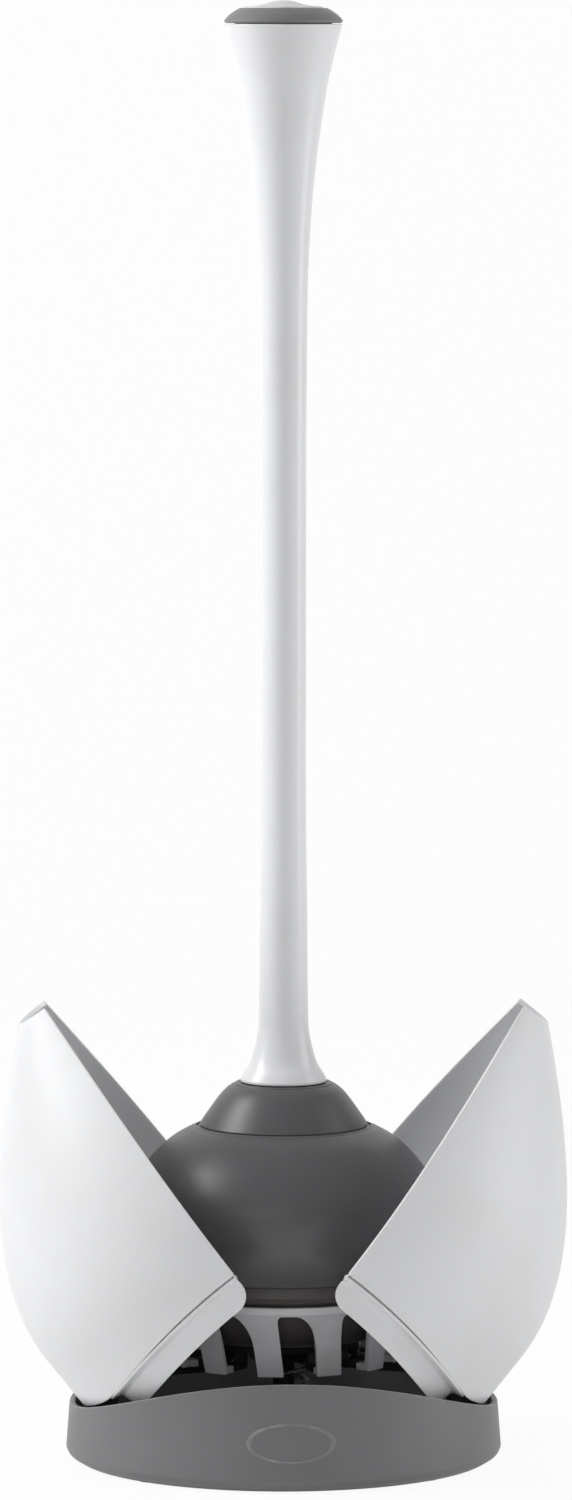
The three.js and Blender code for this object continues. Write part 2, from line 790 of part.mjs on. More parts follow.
function handleLine() {
  const length = handleTop - handleBottom;
  const fromTop = (radius, depth) => new THREE.Vector2(radius, handleTop - depth);
  const fromFoot = (radius, height) => new THREE.Vector2(radius, handleBottom + height);
  const neck = handleNeckRadius;
  const grip = new THREE.SplineCurve([
    fromTop(handleTopRadius, 0),
    fromTop(neck + 10, 12.8),
    fromTop(neck + 6.9, 27.8),
    fromTop(neck + 3, 57.1),
    fromTop(neck + 0.95, 86.8),
    fromTop(neck + 0.4, 116.3),
    fromTop(neck + 0.15, 145.8),
    fromTop(neck, length * 0.56),
  ]);
  const foot = new THREE.SplineCurve([
    fromFoot(neck, length * 0.4),
    fromFoot(neck + 0.05, 96),
    fromFoot(neck + 0.4, 66),
    fromFoot(neck + 0.8, 27),
    fromFoot(neck + 1.4, 17.3),
    fromFoot(neck + 3.7, 8),
    fromFoot(handleFootRadius - 1.2, 3.2),
    fromFoot(handleFootRadius, 1),
  ]);
  const points = [...grip.getPoints(11), ...foot.getPoints(10)];
  return points.map((point) => [point.x, point.y]);
}

function handle() {
  const outer = handleLine();
  const hollowRadius = handleNeckRadius - handleWall;
  const bore = clampRadius + clearance;
  const hollow = outer
    .filter(([radius, height]) => radius > handleNeckRadius + 1 && height > socketTop + 60)
    .reverse()
    .map(([radius, height]) => [radius - handleWall, height]);
  return turned([
    ...outer,
    [handleFootRadius - 0.8, handleBottom],
    [bore, handleBottom],
    [bore, socketTop - 3],
    [hollowRadius, socketTop],
    ...hollow,
  ], bodySteps);
}

// The grip cap: a domed ring with a plug down inside the handle and a recess for the pale insert
function gripCap() {
  const bottom = handleTop + clearance;
  const top = handleTop + capHeight;
  const plugRadius = handleTopRadius - handleWall - clearance * 2;
  const recess = insertRadius + clearance;
  const plugDepth = 9;
  return turned([
    [0, bottom - plugDepth],
    [plugRadius - 4.2, bottom - plugDepth],
    [plugRadius - 3.6, bottom - plugDepth + 1],
    [plugRadius - 0.6, bottom - 1],
    [plugRadius - 0.6, bottom],
    [handleTopRadius, bottom],
    [handleTopRadius + 0.2, bottom + 1.4],
    [handleTopRadius - 1, top - 2],
    [handleTopRadius - 3, top - 0.6],
    [recess + 1.4, top],
    [recess, top - 0.2],
    [recess, top - 3],
    [0, top - 3],
  ], bodySteps);
}

function capInsert() {
  const bottom = handleTop + capHeight - 3 + clearance;
  const edge = handleTop + capHeight + 0.3;
  const dome = new THREE.SplineCurve([
    new THREE.Vector2(insertRadius, edge),
    new THREE.Vector2(insertRadius * 0.62, edge + 0.8),
    new THREE.Vector2(insertRadius * 0.32, edge + 1.9),
    new THREE.Vector2(0, edge + 2.4),
  ]);
  return turned([
    [0, bottom],
    [insertRadius, bottom],
    ...dome.getPoints(5).map((point) => [Math.max(point.x, 0), point.y]),
  ], bodySteps);
}

// The base
part("base_shell", baseShell(), "baseGrey");
part("base_floor", floorPlate(), "innerBlack");
padPlaces().forEach(([x, y], i) => {
  const pad = part("foot_pad_" + (i + 1), rod(padRadius, 0, padHeight), "rubberDark");
  pad.position.set(x, y, 0);
});
part("guide_post", guidePost(), "innerBlack");
part("post_stop", postStop(), "innerBlack");
const postScrew = part("post_screw", screw(9), "steel");
postScrew.rotation.x = Math.PI;
postScrew.position.z = floorBottom - clearance;
part("return_spring", returnSpring(), "steel");
const [cage, hub] = basketPieces();
part("basket", cage, "basketWhite");
part("basket_hub", hub, "innerBlack");

// The two sides are alike, each turned half a circle from the other.
for (const [side, turn] of [["left", 0], ["right", Math.PI]]) {
  const half = new THREE.Group();
  half.rotation.z = turn;
  product.add(half);
  part(side + "_hinge_block", hingeBlock(), "innerBlack", half);
  part(side + "_hinge_pin", hingePin(), "steel", half);
  armScrewPlaces.forEach((_, i) => {
    const y = [-blockScrewY, blockScrewY][i];
    const name = side + "_block_screw_" + (i + 1);
    const fixing = part(name, screw(7), "steel", half);
    fixing.position.set(-blockScrewX, y, floorTop + clearance + blockFootHeight + clearance);
  });

  // The door is built closed, and swings open about its pin.
  const hinge = new THREE.Group();
  hinge.position.set(-pivotReach, 0, pivotHeight);
  hinge.rotation.y = -openAngle;
  half.add(hinge);
  const door = new THREE.Group();
  door.position.set(pivotReach, 0, -pivotHeight);
  hinge.add(door);
  part(side + "_door_shell", doorShell(), "doorWhite", door);
  part(side + "_door_arm", doorArm(), "innerBlack", door);
  armScrewPlaces.forEach((y, i) => {
    const name = side + "_door_screw_" + (i + 1);
    const fixing = part(name, screw(6), "steel", door);
    fixing.rotation.y = Math.PI / 2;
    fixing.position.set(-armPlateX + clearance, y, armScrewHeight);
  });
}

// The plunger
part("cup", cup(), "rubberGrey");
part("drain_flange", drainFlange(), "rubberDark");
part("clamp_washer", clampWasher(), "steel");
part("clamp_screw", clampScrew(), "steel");
part("handle", handle(), "handleWhite");
part("grip_cap", gripCap(), "gripGrey");
part("cap_insert", capInsert(), "insertPale");

export default product;
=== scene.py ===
import json
import math

import bmesh
import bpy
import numpy as np
from mathutils import Matrix, Vector


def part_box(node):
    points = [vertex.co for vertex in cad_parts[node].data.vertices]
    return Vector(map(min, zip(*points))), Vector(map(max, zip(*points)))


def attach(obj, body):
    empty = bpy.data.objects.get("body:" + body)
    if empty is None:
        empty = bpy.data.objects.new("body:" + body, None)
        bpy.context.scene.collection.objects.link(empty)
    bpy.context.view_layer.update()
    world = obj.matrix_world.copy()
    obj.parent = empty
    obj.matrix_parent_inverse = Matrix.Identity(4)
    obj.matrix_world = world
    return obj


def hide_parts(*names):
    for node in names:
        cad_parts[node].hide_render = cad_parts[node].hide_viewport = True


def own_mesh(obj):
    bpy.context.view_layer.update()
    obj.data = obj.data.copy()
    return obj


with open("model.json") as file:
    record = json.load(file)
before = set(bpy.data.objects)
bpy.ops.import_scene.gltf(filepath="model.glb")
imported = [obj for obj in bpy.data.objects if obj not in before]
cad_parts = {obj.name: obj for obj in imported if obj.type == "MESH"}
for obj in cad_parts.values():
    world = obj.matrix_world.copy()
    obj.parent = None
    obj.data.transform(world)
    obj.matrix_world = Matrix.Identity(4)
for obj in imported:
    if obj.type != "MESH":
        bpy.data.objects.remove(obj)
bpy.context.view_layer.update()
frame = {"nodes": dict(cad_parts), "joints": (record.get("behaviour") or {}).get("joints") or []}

# A toilet plunger standing in its caddy, with the two doors open. Sizes are in metres.
# Profiles are written in millimetres and turned into metres by the mesh functions.
mm = 0.001
joints = {joint["name"]: joint for joint in frame["joints"]}
scene = bpy.context.scene

# camera: a little to the left of the middle, level with the grip, looking slightly down
shot = {
    "distance": 2.95,
    "azimuth": -2.0,        # degrees round from the front
    "eyeHeight": 0.53,
    "aimHeight": 0.2632,
    "aimSide": 0.0009,
    "fieldHeight": 0.553,   # what the long side of the picture takes in at the object
}


def makeCamera(s):
    data = bpy.data.cameras.new("camera")
    camera = bpy.data.objects.new("camera", data)
    scene.collection.objects.link(camera)
    turn = math.radians(s["azimuth"])
    place = Vector((math.sin(turn) * s["distance"], -math.cos(turn) * s["distance"], s["eyeHeight"]))
    aim = Vector((s["aimSide"], 0, s["aimHeight"]))
    camera.location = place
    camera.rotation_euler = (aim - place).to_track_quat("-Z", "Y").to_euler()
    data.sensor_width = 36
    data.lens = data.sensor_width * (aim - place).length / s["fieldHeight"]
    data.clip_start, data.clip_end = 0.05, 30
    scene.camera = camera
    print("camera at", [round(x, 3) for x in place], "lens", round(data.lens, 1))


makeCamera(shot)


# mesh tools

def curveThrough(points, steps):
    # an even smooth curve through the points, which takes the ends straight on
    out = []
    last = len(points) - 1
    for i in range(steps + 1):
        at = i / steps * last
        k = min(int(at), last - 1)
        t = at - k
        p0 = points[max(k - 1, 0)]
        p1, p2 = points[k], points[k + 1]
        p3 = points[min(k + 2, last)]
        row = []
        for a, b, c, d in zip(p0, p1, p2, p3):
            v0, v1 = (c - a) * 0.5, (d - b) * 0.5
            row.append((2 * b - 2 * c + v0 + v1) * t**3 + (-3 * b + 3 * c - 2 * v0 - v1) * t**2 + v0 * t + b)
        out.append(tuple(row))
    return out


def rounded(corners, steps=5):
    # a line through (radius, height, rounding) corners, each rounded by an arc
    out = []
    for i, corner in enumerate(corners):
        x, z = corner[0], corner[1]
        size = corner[2] if len(corner) > 2 else 0
        before, after = corners[i - 1], corners[(i + 1) % len(corners)]
        if size <= 0:
            out.append((x, z))
            continue
        here = Vector((x, z))
        a = Vector(before[:2]) - here
        b = Vector(after[:2]) - here
        reach = min(a.length, b.length) * 0.49
        a.normalize()
        b.normalize()
        half = max(math.acos(max(-1, min(1, a.dot(b)))) / 2, 0.05)
        cut = min(size / math.tan(half), reach)
        start, end = here + a * cut, here + b * cut
        for k in range(steps + 1):
            t = k / steps
            p = start * (1 - t) ** 2 + here * 2 * t * (1 - t) + end * t**2
            out.append((p.x, p.y))
    return out


def vertexAt(bm, radius, turn, height):
    # a vertex at this radius and turn about Z, in millimetres
    return bm.verts.new((radius * mm * math.cos(turn), radius * mm * math.sin(turn), height * mm))


def turnedRings(bm, profile, segments, place=None):
    # turns (radius, height) points in millimetres about Z; a point on the axis is one vertex
    rings = []
    for radius, height in profile:
        if radius < 1e-6:
            rings.append([bm.verts.new((0, 0, height * mm))])
            continue
        rings.append([vertexAt(bm, radius, 2 * math.pi * k / segments, height) for k in range(segments)])
    onAxis = len(rings[0]) == 1 and len(rings[-1]) == 1
    pairs = list(zip(rings, rings[1:]))
    if not onAxis:
        pairs.append((rings[-1], rings[0]))
    for low, high in pairs:
        for k in range(segments):
            n = (k + 1) % segments
            if len(low) == 1 and len(high) == 1:
                continue
            if len(low) == 1:
                bm.faces.new((low[0], high[k], high[n]))
            elif len(high) == 1:
                bm.faces.new((low[k], high[0], low[n]))
            else:
                bm.faces.new((low[k], high[k], high[n], low[n]))
    verts = [v for ring in rings for v in ring]
    if place is not None:
        bmesh.ops.transform(bm, matrix=place, verts=verts)
    return verts


def gridFaces(bm, rows, wrap=False):
    for a, b in zip(rows, rows[1:]):
        count = len(a)
        for k in range(count if wrap else count - 1):
            n = (k + 1) % count
            bm.faces.new((a[k], b[k], b[n], a[n]))


def objectFrom(name, bm, normals=True):
    if normals:
        bmesh.ops.recalc_face_normals(bm, faces=bm.faces)
    mesh = bpy.data.meshes.new(name)
    bm.to_mesh(mesh)
    bm.free()
    made = bpy.data.objects.new(name, mesh)
    scene.collection.objects.link(made)
    return made


def addThickness(made, thickness):
    shell = made.modifiers.new("wall", "SOLIDIFY")
    shell.thickness = thickness * mm
    shell.offset = -1.0
    shell.use_even_offset = True


def addBevel(made, width, segments=3, degrees=38):
    bevel = made.modifiers.new("edges", "BEVEL")
    bevel.width = width * mm
    bevel.segments = segments
    bevel.limit_method = "ANGLE"
    bevel.angle_limit = math.radians(degrees)


def settle(made):
    # takes the modifiers into the mesh
    if not made.modifiers:
        return
    graph = bpy.context.evaluated_depsgraph_get()
    mesh = bpy.data.meshes.new_from_object(made.evaluated_get(graph))
    made.modifiers.clear()
    made.data = mesh


def markEdges(made, soft=(9, 26)):
    # how sharply the surface turns at each vertex, as a value that the edge wear and the painted edge
    # highlight read
    mesh = made.data
    bm = bmesh.new()
    bm.from_mesh(mesh)
    bm.normal_update()
    low, high = (math.radians(x) for x in soft)
    values = np.zeros(len(bm.verts), np.float32)
    for v in bm.verts:
        turn = 0.0
        for e in v.link_edges:
            if len(e.link_faces) == 2:
                angle = e.link_faces[0].normal.angle(e.link_faces[1].normal, 0)
                if e.is_convex:
                    turn = max(turn, angle)
        values[v.index] = min(max((turn - low) / (high - low), 0), 1)
    bm.free()
    layer = mesh.attributes.new("edge", "FLOAT", "POINT")
    layer.data.foreach_set("value", values)


def finishPiece(made, material, body, nodes=(), crease=34):
    settle(made)
    mesh = made.data
    mesh.polygons.foreach_set("use_smooth", [True] * len(mesh.polygons))
    mesh.set_sharp_from_angle(angle=math.radians(crease))
    markEdges(made)
    mesh.materials.clear()
    mesh.materials.append(material)
    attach(made, body)
    if nodes:
        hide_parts(*nodes)


def copyOf(node, bevel):
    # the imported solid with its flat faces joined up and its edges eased
    bm = bmesh.new()
    bm.from_mesh(frame["nodes"][node].data)
    bmesh.ops.remove_doubles(bm, verts=bm.verts, dist=0.00001)
    bmesh.ops.dissolve_limit(bm, angle_limit=math.radians(1), verts=bm.verts, edges=bm.edges)
    made = objectFrom(node, bm)
    addBevel(made, bevel, 3, 30)
    return made


# shader groups, each built once
def newGroup(name, inputs, outputs):
    group = bpy.data.node_groups.new(name, "ShaderNodeTree")
    for label, kind, value in inputs:
        socket = group.interface.new_socket(name=label, in_out="INPUT", socket_type=kind)
        socket.default_value = value
    for label, kind in outputs:
        group.interface.new_socket(name=label, in_out="OUTPUT", socket_type=kind)
    enter = group.nodes.new("NodeGroupInput")
    leave = group.nodes.new("NodeGroupOutput")
    return group, enter, leave


def mathNode(tree, operation, a, b=None, c=None, clamp=False):
    node = tree.nodes.new("ShaderNodeMath")
    node.operation = operation
    node.use_clamp = clamp
    for i, value in enumerate((a, b, c)):
        if value is None:
            continue
        if hasattr(value, "links"):
            tree.links.new(value, node.inputs[i])
        else:
            node.inputs[i].default_value = value
    return node.outputs[0]


def noiseNode(tree, coords, scale, detail=3, roughness=0.5):
    node = tree.nodes.new("ShaderNodeTexNoise")
    tree.links.new(coords, node.inputs["Vector"])
    if hasattr(scale, "links"):
        tree.links.new(scale, node.inputs["Scale"])
    else:
        node.inputs["Scale"].default_value = scale
    node.inputs["Detail"].default_value = detail
    node.inputs["Roughness"].default_value = roughness
    return node.outputs["Fac"]


def ramp(tree, value, low, high, toLow=0.0, toHigh=1.0):
    node = tree.nodes.new("ShaderNodeMapRange")
    node.interpolation_type = "SMOOTHSTEP"
    tree.links.new(value, node.inputs["Value"])
    for label, number in (("From Min", low), ("From Max", high), ("To Min", toLow), ("To Max", toHigh)):
        node.inputs[label].default_value = number
    return node.outputs["Result"]


def objectCoords(tree):
    return tree.nodes.new("ShaderNodeTexCoord").outputs["Object"]


def buildMouldGrain():
    # the spark texture of a moulding tool over a faint waviness
    group, enter, leave = newGroup(
        "mouldGrain",
        [
            ("Grain", "NodeSocketFloat", 2600.0),
            ("Wave", "NodeSocketFloat", 90.0),
            ("Wave share", "NodeSocketFloat", 0.4),
        ],
        [("Height", "NodeSocketFloat")],
    )
    coords = objectCoords(group)
    grain = noiseNode(group, coords, enter.outputs["Grain"], 2, 0.6)
    wave = noiseNode(group, coords, enter.outputs["Wave"], 1, 0.4)
    waved = mathNode(group, "MULTIPLY", wave, enter.outputs["Wave share"])
    group.links.new(mathNode(group, "ADD", grain, waved), leave.inputs["Height"])
    return group


def buildEdgeWearAndHighlight():
    # lighter edges, broken up so that they come and go: rubbed wear, and on the doors a painted highlight
    # along the edges
    group, enter, leave = newGroup(
        "edgeWearAndHighlight",
        [("Break up", "NodeSocketFloat", 220.0), ("Amount", "NodeSocketFloat", 0.5)],
        [("Mask", "NodeSocketFloat")],
    )
    edge = group.nodes.new("ShaderNodeAttribute")
    edge.attribute_name = "edge"
    patches = noiseNode(group, objectCoords(group), enter.outputs["Break up"], 4, 0.6)
    broken = ramp(group, patches, 0.38, 0.62, 0.35, 1.0)
    worn = mathNode(group, "MULTIPLY", edge.outputs["Fac"], broken)
    share = mathNode(group, "MULTIPLY", worn, enter.outputs["Amount"], clamp=True)
    group.links.new(share, leave.inputs["Mask"])
    return group


def buildHandling():
    # soft clouds of finger marks and dulling
    group, enter, leave = newGroup(
        "handling",
        [("Size", "NodeSocketFloat", 28.0), ("Amount", "NodeSocketFloat", 0.5)],
        [("Mask", "NodeSocketFloat"), ("Fine", "NodeSocketFloat")],
    )
    coords = objectCoords(group)
    clouds = ramp(group, noiseNode(group, coords, enter.outputs["Size"], 4, 0.55), 0.4, 0.68)
    finer = mathNode(group, "MULTIPLY", enter.outputs["Size"], 9.0)
    fine = noiseNode(group, coords, finer, 5, 0.6)
    group.links.new(mathNode(group, "MULTIPLY", clouds, enter.outputs["Amount"]), leave.inputs["Mask"])
    group.links.new(mathNode(group, "MULTIPLY", fine, enter.outputs["Amount"]), leave.inputs["Fine"])
    return group


def buildDust():
    # pale dust that lies on what faces up, thinned by a fine speckle
    group, enter, leave = newGroup(
        "restingDust",
        [("Speckle", "NodeSocketFloat", 900.0), ("Amount", "NodeSocketFloat", 0.2)],
        [("Mask", "NodeSocketFloat")],
    )
    facing = group.nodes.new("ShaderNodeTexCoord")
    split = group.nodes.new("ShaderNodeSeparateXYZ")
    group.links.new(facing.outputs["Normal"], split.inputs[0])
    up = ramp(group, split.outputs["Z"], 0.35, 0.95)
    specks = noiseNode(group, facing.outputs["Object"], enter.outputs["Speckle"], 5, 0.7)
    speckle = ramp(group, specks, 0.42, 0.7)
    lying = mathNode(group, "MULTIPLY", up, speckle)
    group.links.new(mathNode(group, "MULTIPLY", lying, enter.outputs["Amount"]), leave.inputs["Mask"])
    return group


mouldGrain = buildMouldGrain()
edgeWearAndHighlight = buildEdgeWearAndHighlight()
handling = buildHandling()
restingDust = buildDust()
print("shader groups built")


def addGroup(tree, group, **values):
    # a group's settings are given by name, with _ for a space
    node = tree.nodes.new("ShaderNodeGroup")
    node.node_tree = group
    for label, value in values.items():
        node.inputs[label.replace("_", " ")].default_value = value
    return node


def mixColour(tree, factor, first, second):
    node = tree.nodes.new("ShaderNodeMix")
    node.data_type = "RGBA"
    tree.links.new(factor, node.inputs[0])
    for socket, value in ((node.inputs[6], first), (node.inputs[7], second)):
        if hasattr(value, "links"):
            tree.links.new(value, socket)
        else:
            socket.default_value = (*value, 1)
    return node.outputs[2]


dustColour = (0.62, 0.61, 0.6)
dustRough = 0.3   # how much rougher dust makes what it lies on


def moulded(name, s):
    # one moulded finish: plastic or rubber, from its settings
    material = bpy.data.materials.new(name)
    material.use_nodes = True
    tree = material.node_tree
    shader = tree.nodes["Principled BSDF"]
    marks = addGroup(tree, handling, Size=s["markSize"], Amount=s["marks"])
    wearAndHighlight = addGroup(tree, edgeWearAndHighlight, Amount=s["wearAndHighlight"])
    dust = addGroup(tree, restingDust, Amount=s["dust"])
    colour = mixColour(tree, marks.outputs["Mask"], s["colour"], s["markColour"])
    # lighter edges: rubbed wear, and on the doors a painted highlight
    colour = mixColour(tree, wearAndHighlight.outputs["Mask"], colour, s["wearAndHighlightColour"])
    colour = mixColour(tree, dust.outputs["Mask"], colour, dustColour)
    tree.links.new(colour, shader.inputs["Base Color"])
    dulled = mathNode(tree, "MULTIPLY_ADD", marks.outputs["Fine"], s["roughVary"], s["rough"])
    dulled = mathNode(tree, "MULTIPLY_ADD", dust.outputs["Mask"], dustRough, dulled, clamp=True)
    tree.links.new(dulled, shader.inputs["Roughness"])
    grain = addGroup(tree, mouldGrain, Grain=s["grain"], Wave_share=s.get("waveShare", 0.4))
    bump = tree.nodes.new("ShaderNodeBump")
    bump.inputs["Strength"].default_value = s["grainStrength"]
    bump.inputs["Distance"].default_value = s["grainDepth"] * mm
    tree.links.new(grain.outputs["Height"], bump.inputs["Height"])
    tree.links.new(bump.outputs["Normal"], shader.inputs["Normal"])
    shader.inputs["Specular IOR Level"].default_value = s.get("specular", 0.5)
    shader.inputs["Sheen Weight"].default_value = s.get("sheen", 0.0)
    return material


finishes = {
    "doorWhite": {
        "colour": (0.80, 0.805, 0.82), "markColour": (0.765, 0.765, 0.77),
        # on the doors the pale edge colour is a painted highlight along the rounded edges
        "wearAndHighlightColour": (0.95, 0.95, 0.955), "markSize": 22.0, "marks": 0.6, "wearAndHighlight": 1.0,
        "dust": 0.10, "rough": 0.40, "roughVary": 0.14,
        "grain": 2600.0, "grainDepth": 0.03, "grainStrength": 0.55, "waveShare": 0.25,
    },
    "handleWhite": {
        "colour": (0.83, 0.835, 0.85), "markColour": (0.79, 0.79, 0.8),
        "wearAndHighlightColour": (0.88, 0.88, 0.89), "markSize": 30.0, "marks": 0.5, "wearAndHighlight": 0.4,
        "dust": 0.05, "rough": 0.27, "roughVary": 0.14,
        "grain": 3200.0, "grainDepth": 0.015, "grainStrength": 0.4, "waveShare": 0.6,
    },
    "basketWhite": {
        "colour": (0.70, 0.70, 0.725), "markColour": (0.6, 0.6, 0.61),
        "wearAndHighlightColour": (0.84, 0.84, 0.85), "markSize": 60.0, "marks": 0.7, "wearAndHighlight": 0.7,
        "dust": 0.2, "rough": 0.42, "roughVary": 0.2,
        "grain": 2600.0, "grainDepth": 0.03, "grainStrength": 0.5,
    },
    "insertPale": {
        "colour": (0.76, 0.76, 0.77), "markColour": (0.68, 0.68, 0.68),
        "wearAndHighlightColour": (0.92, 0.92, 0.92), "markSize": 90.0, "marks": 0.6, "wearAndHighlight": 0.6,
        "dust": 0.1, "rough": 0.4, "roughVary": 0.2,
        "grain": 2400.0, "grainDepth": 0.03, "grainStrength": 0.5,
    },
    "baseGrey": {
        "colour": (0.176, 0.176, 0.182), "markColour": (0.162, 0.162, 0.167),
        "wearAndHighlightColour": (0.36, 0.36, 0.37), "markSize": 26.0, "marks": 0.6, "wearAndHighlight": 0.6,
        "dust": 0.14, "rough": 0.43, "roughVary": 0.18,
        "grain": 2300.0, "grainDepth": 0.035, "grainStrength": 0.6, "waveShare": 0.3,
    },
    "gripGrey": {
        "colour": (0.205, 0.205, 0.21), "markColour": (0.18, 0.18, 0.185),
        "wearAndHighlightColour": (0.32, 0.32, 0.33), "markSize": 70.0, "marks": 0.7, "wearAndHighlight": 0.5,
        "dust": 0.12, "rough": 0.48, "roughVary": 0.15,
        "grain": 1900.0, "grainDepth": 0.05, "grainStrength": 0.8, "sheen": 0.1,
    },
    "cupRubber": {
        "colour": (0.088, 0.087, 0.092), "markColour": (0.1, 0.099, 0.103),
        "wearAndHighlightColour": (0.15, 0.15, 0.15), "markSize": 24.0, "marks": 0.6, "wearAndHighlight": 0.3,
        "dust": 0.03, "rough": 0.35, "roughVary": 0.14,
        "grain": 2200.0, "grainDepth": 0.025, "grainStrength": 0.35, "waveShare": 0.5, "specular": 0.62,
    },
    "flangeRubber": {
        "colour": (0.088, 0.079, 0.078), "markColour": (0.074, 0.067, 0.066),
        "wearAndHighlightColour": (0.17, 0.15, 0.145), "markSize": 40.0, "marks": 0.7, "wearAndHighlight": 0.4,
        "dust": 0.15, "rough": 0.42, "roughVary": 0.18,
        "grain": 1600.0, "grainDepth": 0.05, "grainStrength": 0.6,
    },
    "padRubber": {
        "colour": (0.03, 0.03, 0.03), "markColour": (0.05, 0.05, 0.048),
        "wearAndHighlightColour": (0.1, 0.1, 0.1), "markSize": 80.0, "marks": 0.7, "wearAndHighlight": 0.6,
        "dust": 0.2, "rough": 0.65, "roughVary": 0.2,
        "grain": 1300.0, "grainDepth": 0.06, "grainStrength": 0.8,
    },
    # near black: painted shade for the caddy's inside, where only shadow shows between the parts
    "innerBlack": {
        "colour": (0.017, 0.0165, 0.019), "markColour": (0.021, 0.021, 0.023),
        "wearAndHighlightColour": (0.04, 0.04, 0.042), "markSize": 40.0, "marks": 0.5, "wearAndHighlight": 0.3,
        "dust": 0.02, "rough": 0.62, "roughVary": 0.15,
        "grain": 2000.0, "grainDepth": 0.04, "grainStrength": 0.6,
    },
}
paint = {name: moulded(name, s) for name, s in finishes.items()}

steelFinish = {
    "bright": (0.56, 0.57, 0.58), "dull": (0.3, 0.3, 0.31), "rough": 0.27, "roughVary": 0.3,
    "drawScale": (900.0, 900.0, 120.0), "drawDepth": 0.02, "drawStrength": 0.4,
    "markSize": 160.0, "marks": 0.8, "breakUp": 500.0, "wearAndHighlight": 0.6, "wearAndHighlightColour": (0.75, 0.75, 0.76),
}
# near-black steel: painted shade for the spring and block screws inside the base
paintedShadeSteelFinish = {**steelFinish, "bright": (0.035, 0.035, 0.037), "dull": (0.02, 0.02, 0.021), "rough": 0.55}


def steel(name, s):
    # plated steel with fine drawing lines; the dark version is steel darkened as painted shade
    material = bpy.data.materials.new(name)
    material.use_nodes = True
    tree = material.node_tree
    shader = tree.nodes["Principled BSDF"]
    shader.inputs["Metallic"].default_value = 1.0
    stretch = tree.nodes.new("ShaderNodeMapping")
    stretch.inputs["Scale"].default_value = s["drawScale"]
    tree.links.new(objectCoords(tree), stretch.inputs["Vector"])
    lines = noiseNode(tree, stretch.outputs["Vector"], 1.0, 4, 0.6)
    marks = addGroup(tree, handling, Size=s["markSize"], Amount=s["marks"])
    wearAndHighlight = addGroup(tree, edgeWearAndHighlight, Break_up=s["breakUp"], Amount=s["wearAndHighlight"])
    colour = mixColour(tree, marks.outputs["Mask"], s["bright"], s["dull"])
    colour = mixColour(tree, wearAndHighlight.outputs["Mask"], colour, s["wearAndHighlightColour"])
    tree.links.new(colour, shader.inputs["Base Color"])
    rough = mathNode(tree, "MULTIPLY_ADD", lines, s["roughVary"], s["rough"] - s["roughVary"] / 2, clamp=True)
    tree.links.new(rough, shader.inputs["Roughness"])
    bump = tree.nodes.new("ShaderNodeBump")
    bump.inputs["Strength"].default_value = s["drawStrength"]
    bump.inputs["Distance"].default_value = s["drawDepth"] * mm
    tree.links.new(lines, bump.inputs["Height"])
    tree.links.new(bump.outputs["Normal"], shader.inputs["Normal"])
    return material


paint["steel"] = steel("steel", steelFinish)
paint["paintedShadeSteel"] = steel("paintedShadeSteel", paintedShadeSteelFinish)
print("finishes:", ", ".join(paint))


def turnedPiece(name, profile, finish, body, segments, place=None):
    bm = bmesh.new()
    turnedRings(bm, profile, segments, place)
    finishPiece(objectFrom(name, bm), paint[finish], body, [name])


# handle: a slim rod that flares at both ends
handleSize = {
    "neck": 8.3,
    "footRadius": 15.9,
    "topRadius": 21.6,
    "wall": 2.6,
    "bore": 3.9,          # for the clamp screw
    "socketTop": 172.2,
    "lip": 0.5,           # rounding of the mouth
    # outlines as what is added to the neck's radius, and the distance from the end
    "grip": ((10, 12.8), (6.9, 27.8), (3, 57.1), (0.95, 86.8), (0.4, 116.3), (0.15, 145.8)),
    "shoe": ((0.05, 96), (0.4, 66), (0.8, 27), (1.4, 17.3), (3.7, 8)),
    "slimFrom": 0.4,      # the plain neck, as shares of the height
    "slimTo": 0.44,
    "hollowFrom": 60.0,   # above the socket
    "pinch": 3.0,         # the bore narrows to the neck's hollow over this height
}


def makeHandle(s):
    low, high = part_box("handle")
    top, foot = high.z / mm, low.z / mm
    length = top - foot
    neck = s["neck"]
    flare = [(neck + more, top - below) for more, below in s["grip"]]
    grip = curveThrough([(s["topRadius"], top)] + flare + [(neck, foot + length * s["slimTo"])], 70)
    flare = [(neck + more, foot + above) for more, above in s["shoe"]]
    flare += [(s["footRadius"] - 1.2, foot + 3.2), (s["footRadius"], foot + 1)]
    shoe = curveThrough([(neck, foot + length * s["slimFrom"])] + flare, 64)
    lip = s["lip"]
    mouth = [(s["topRadius"] - s["wall"], top), (s["topRadius"] - s["wall"] + lip, top)]
    for k in range(6):
        a = math.pi / 2 * k / 5
        mouth.append((s["topRadius"] - lip * (1 - math.sin(a)), top - lip * (1 - math.cos(a))))
    outer = [point for point in grip if point[1] < top - lip * 1.2]
    hollow = [(radius - s["wall"], height) for radius, height in outer
              if radius > neck + 1 and height > s["socketTop"] + s["hollowFrom"]]
    ending = [
        (s["footRadius"], foot + 0.5), (s["footRadius"] - 0.15, foot + 0.15), (s["footRadius"] - 0.6, foot),
        (s["bore"], foot), (s["bore"], s["socketTop"] - s["pinch"]), (neck - s["wall"], s["socketTop"]),
    ]
    profile = mouth + outer + shoe + ending + hollow[::-1]
    turnedPiece("handle", profile, "handleWhite", "plunger", 128)


makeHandle(handleSize)

# grip cap and its pale insert
capSize = {
    "radius": 21.6,
    "swell": 0.15,
    "height": 5.9,
    "recess": 14.9,
    "recessDepth": 3.0,
    "plugRadius": 17.8,
    "plugDepth": 9.0,
    "seam": 0.35,        # undercut where the cap meets the handle
}
insertSize = {
    "radius": 14.6,
    "edgeHeight": 6.2,
    "hump": 2.4,
    "under": 3.3,
    "border": 0.3,       # share of the radius that is rippled
    "ripple": 0.16,
    "ripples": 7,
}


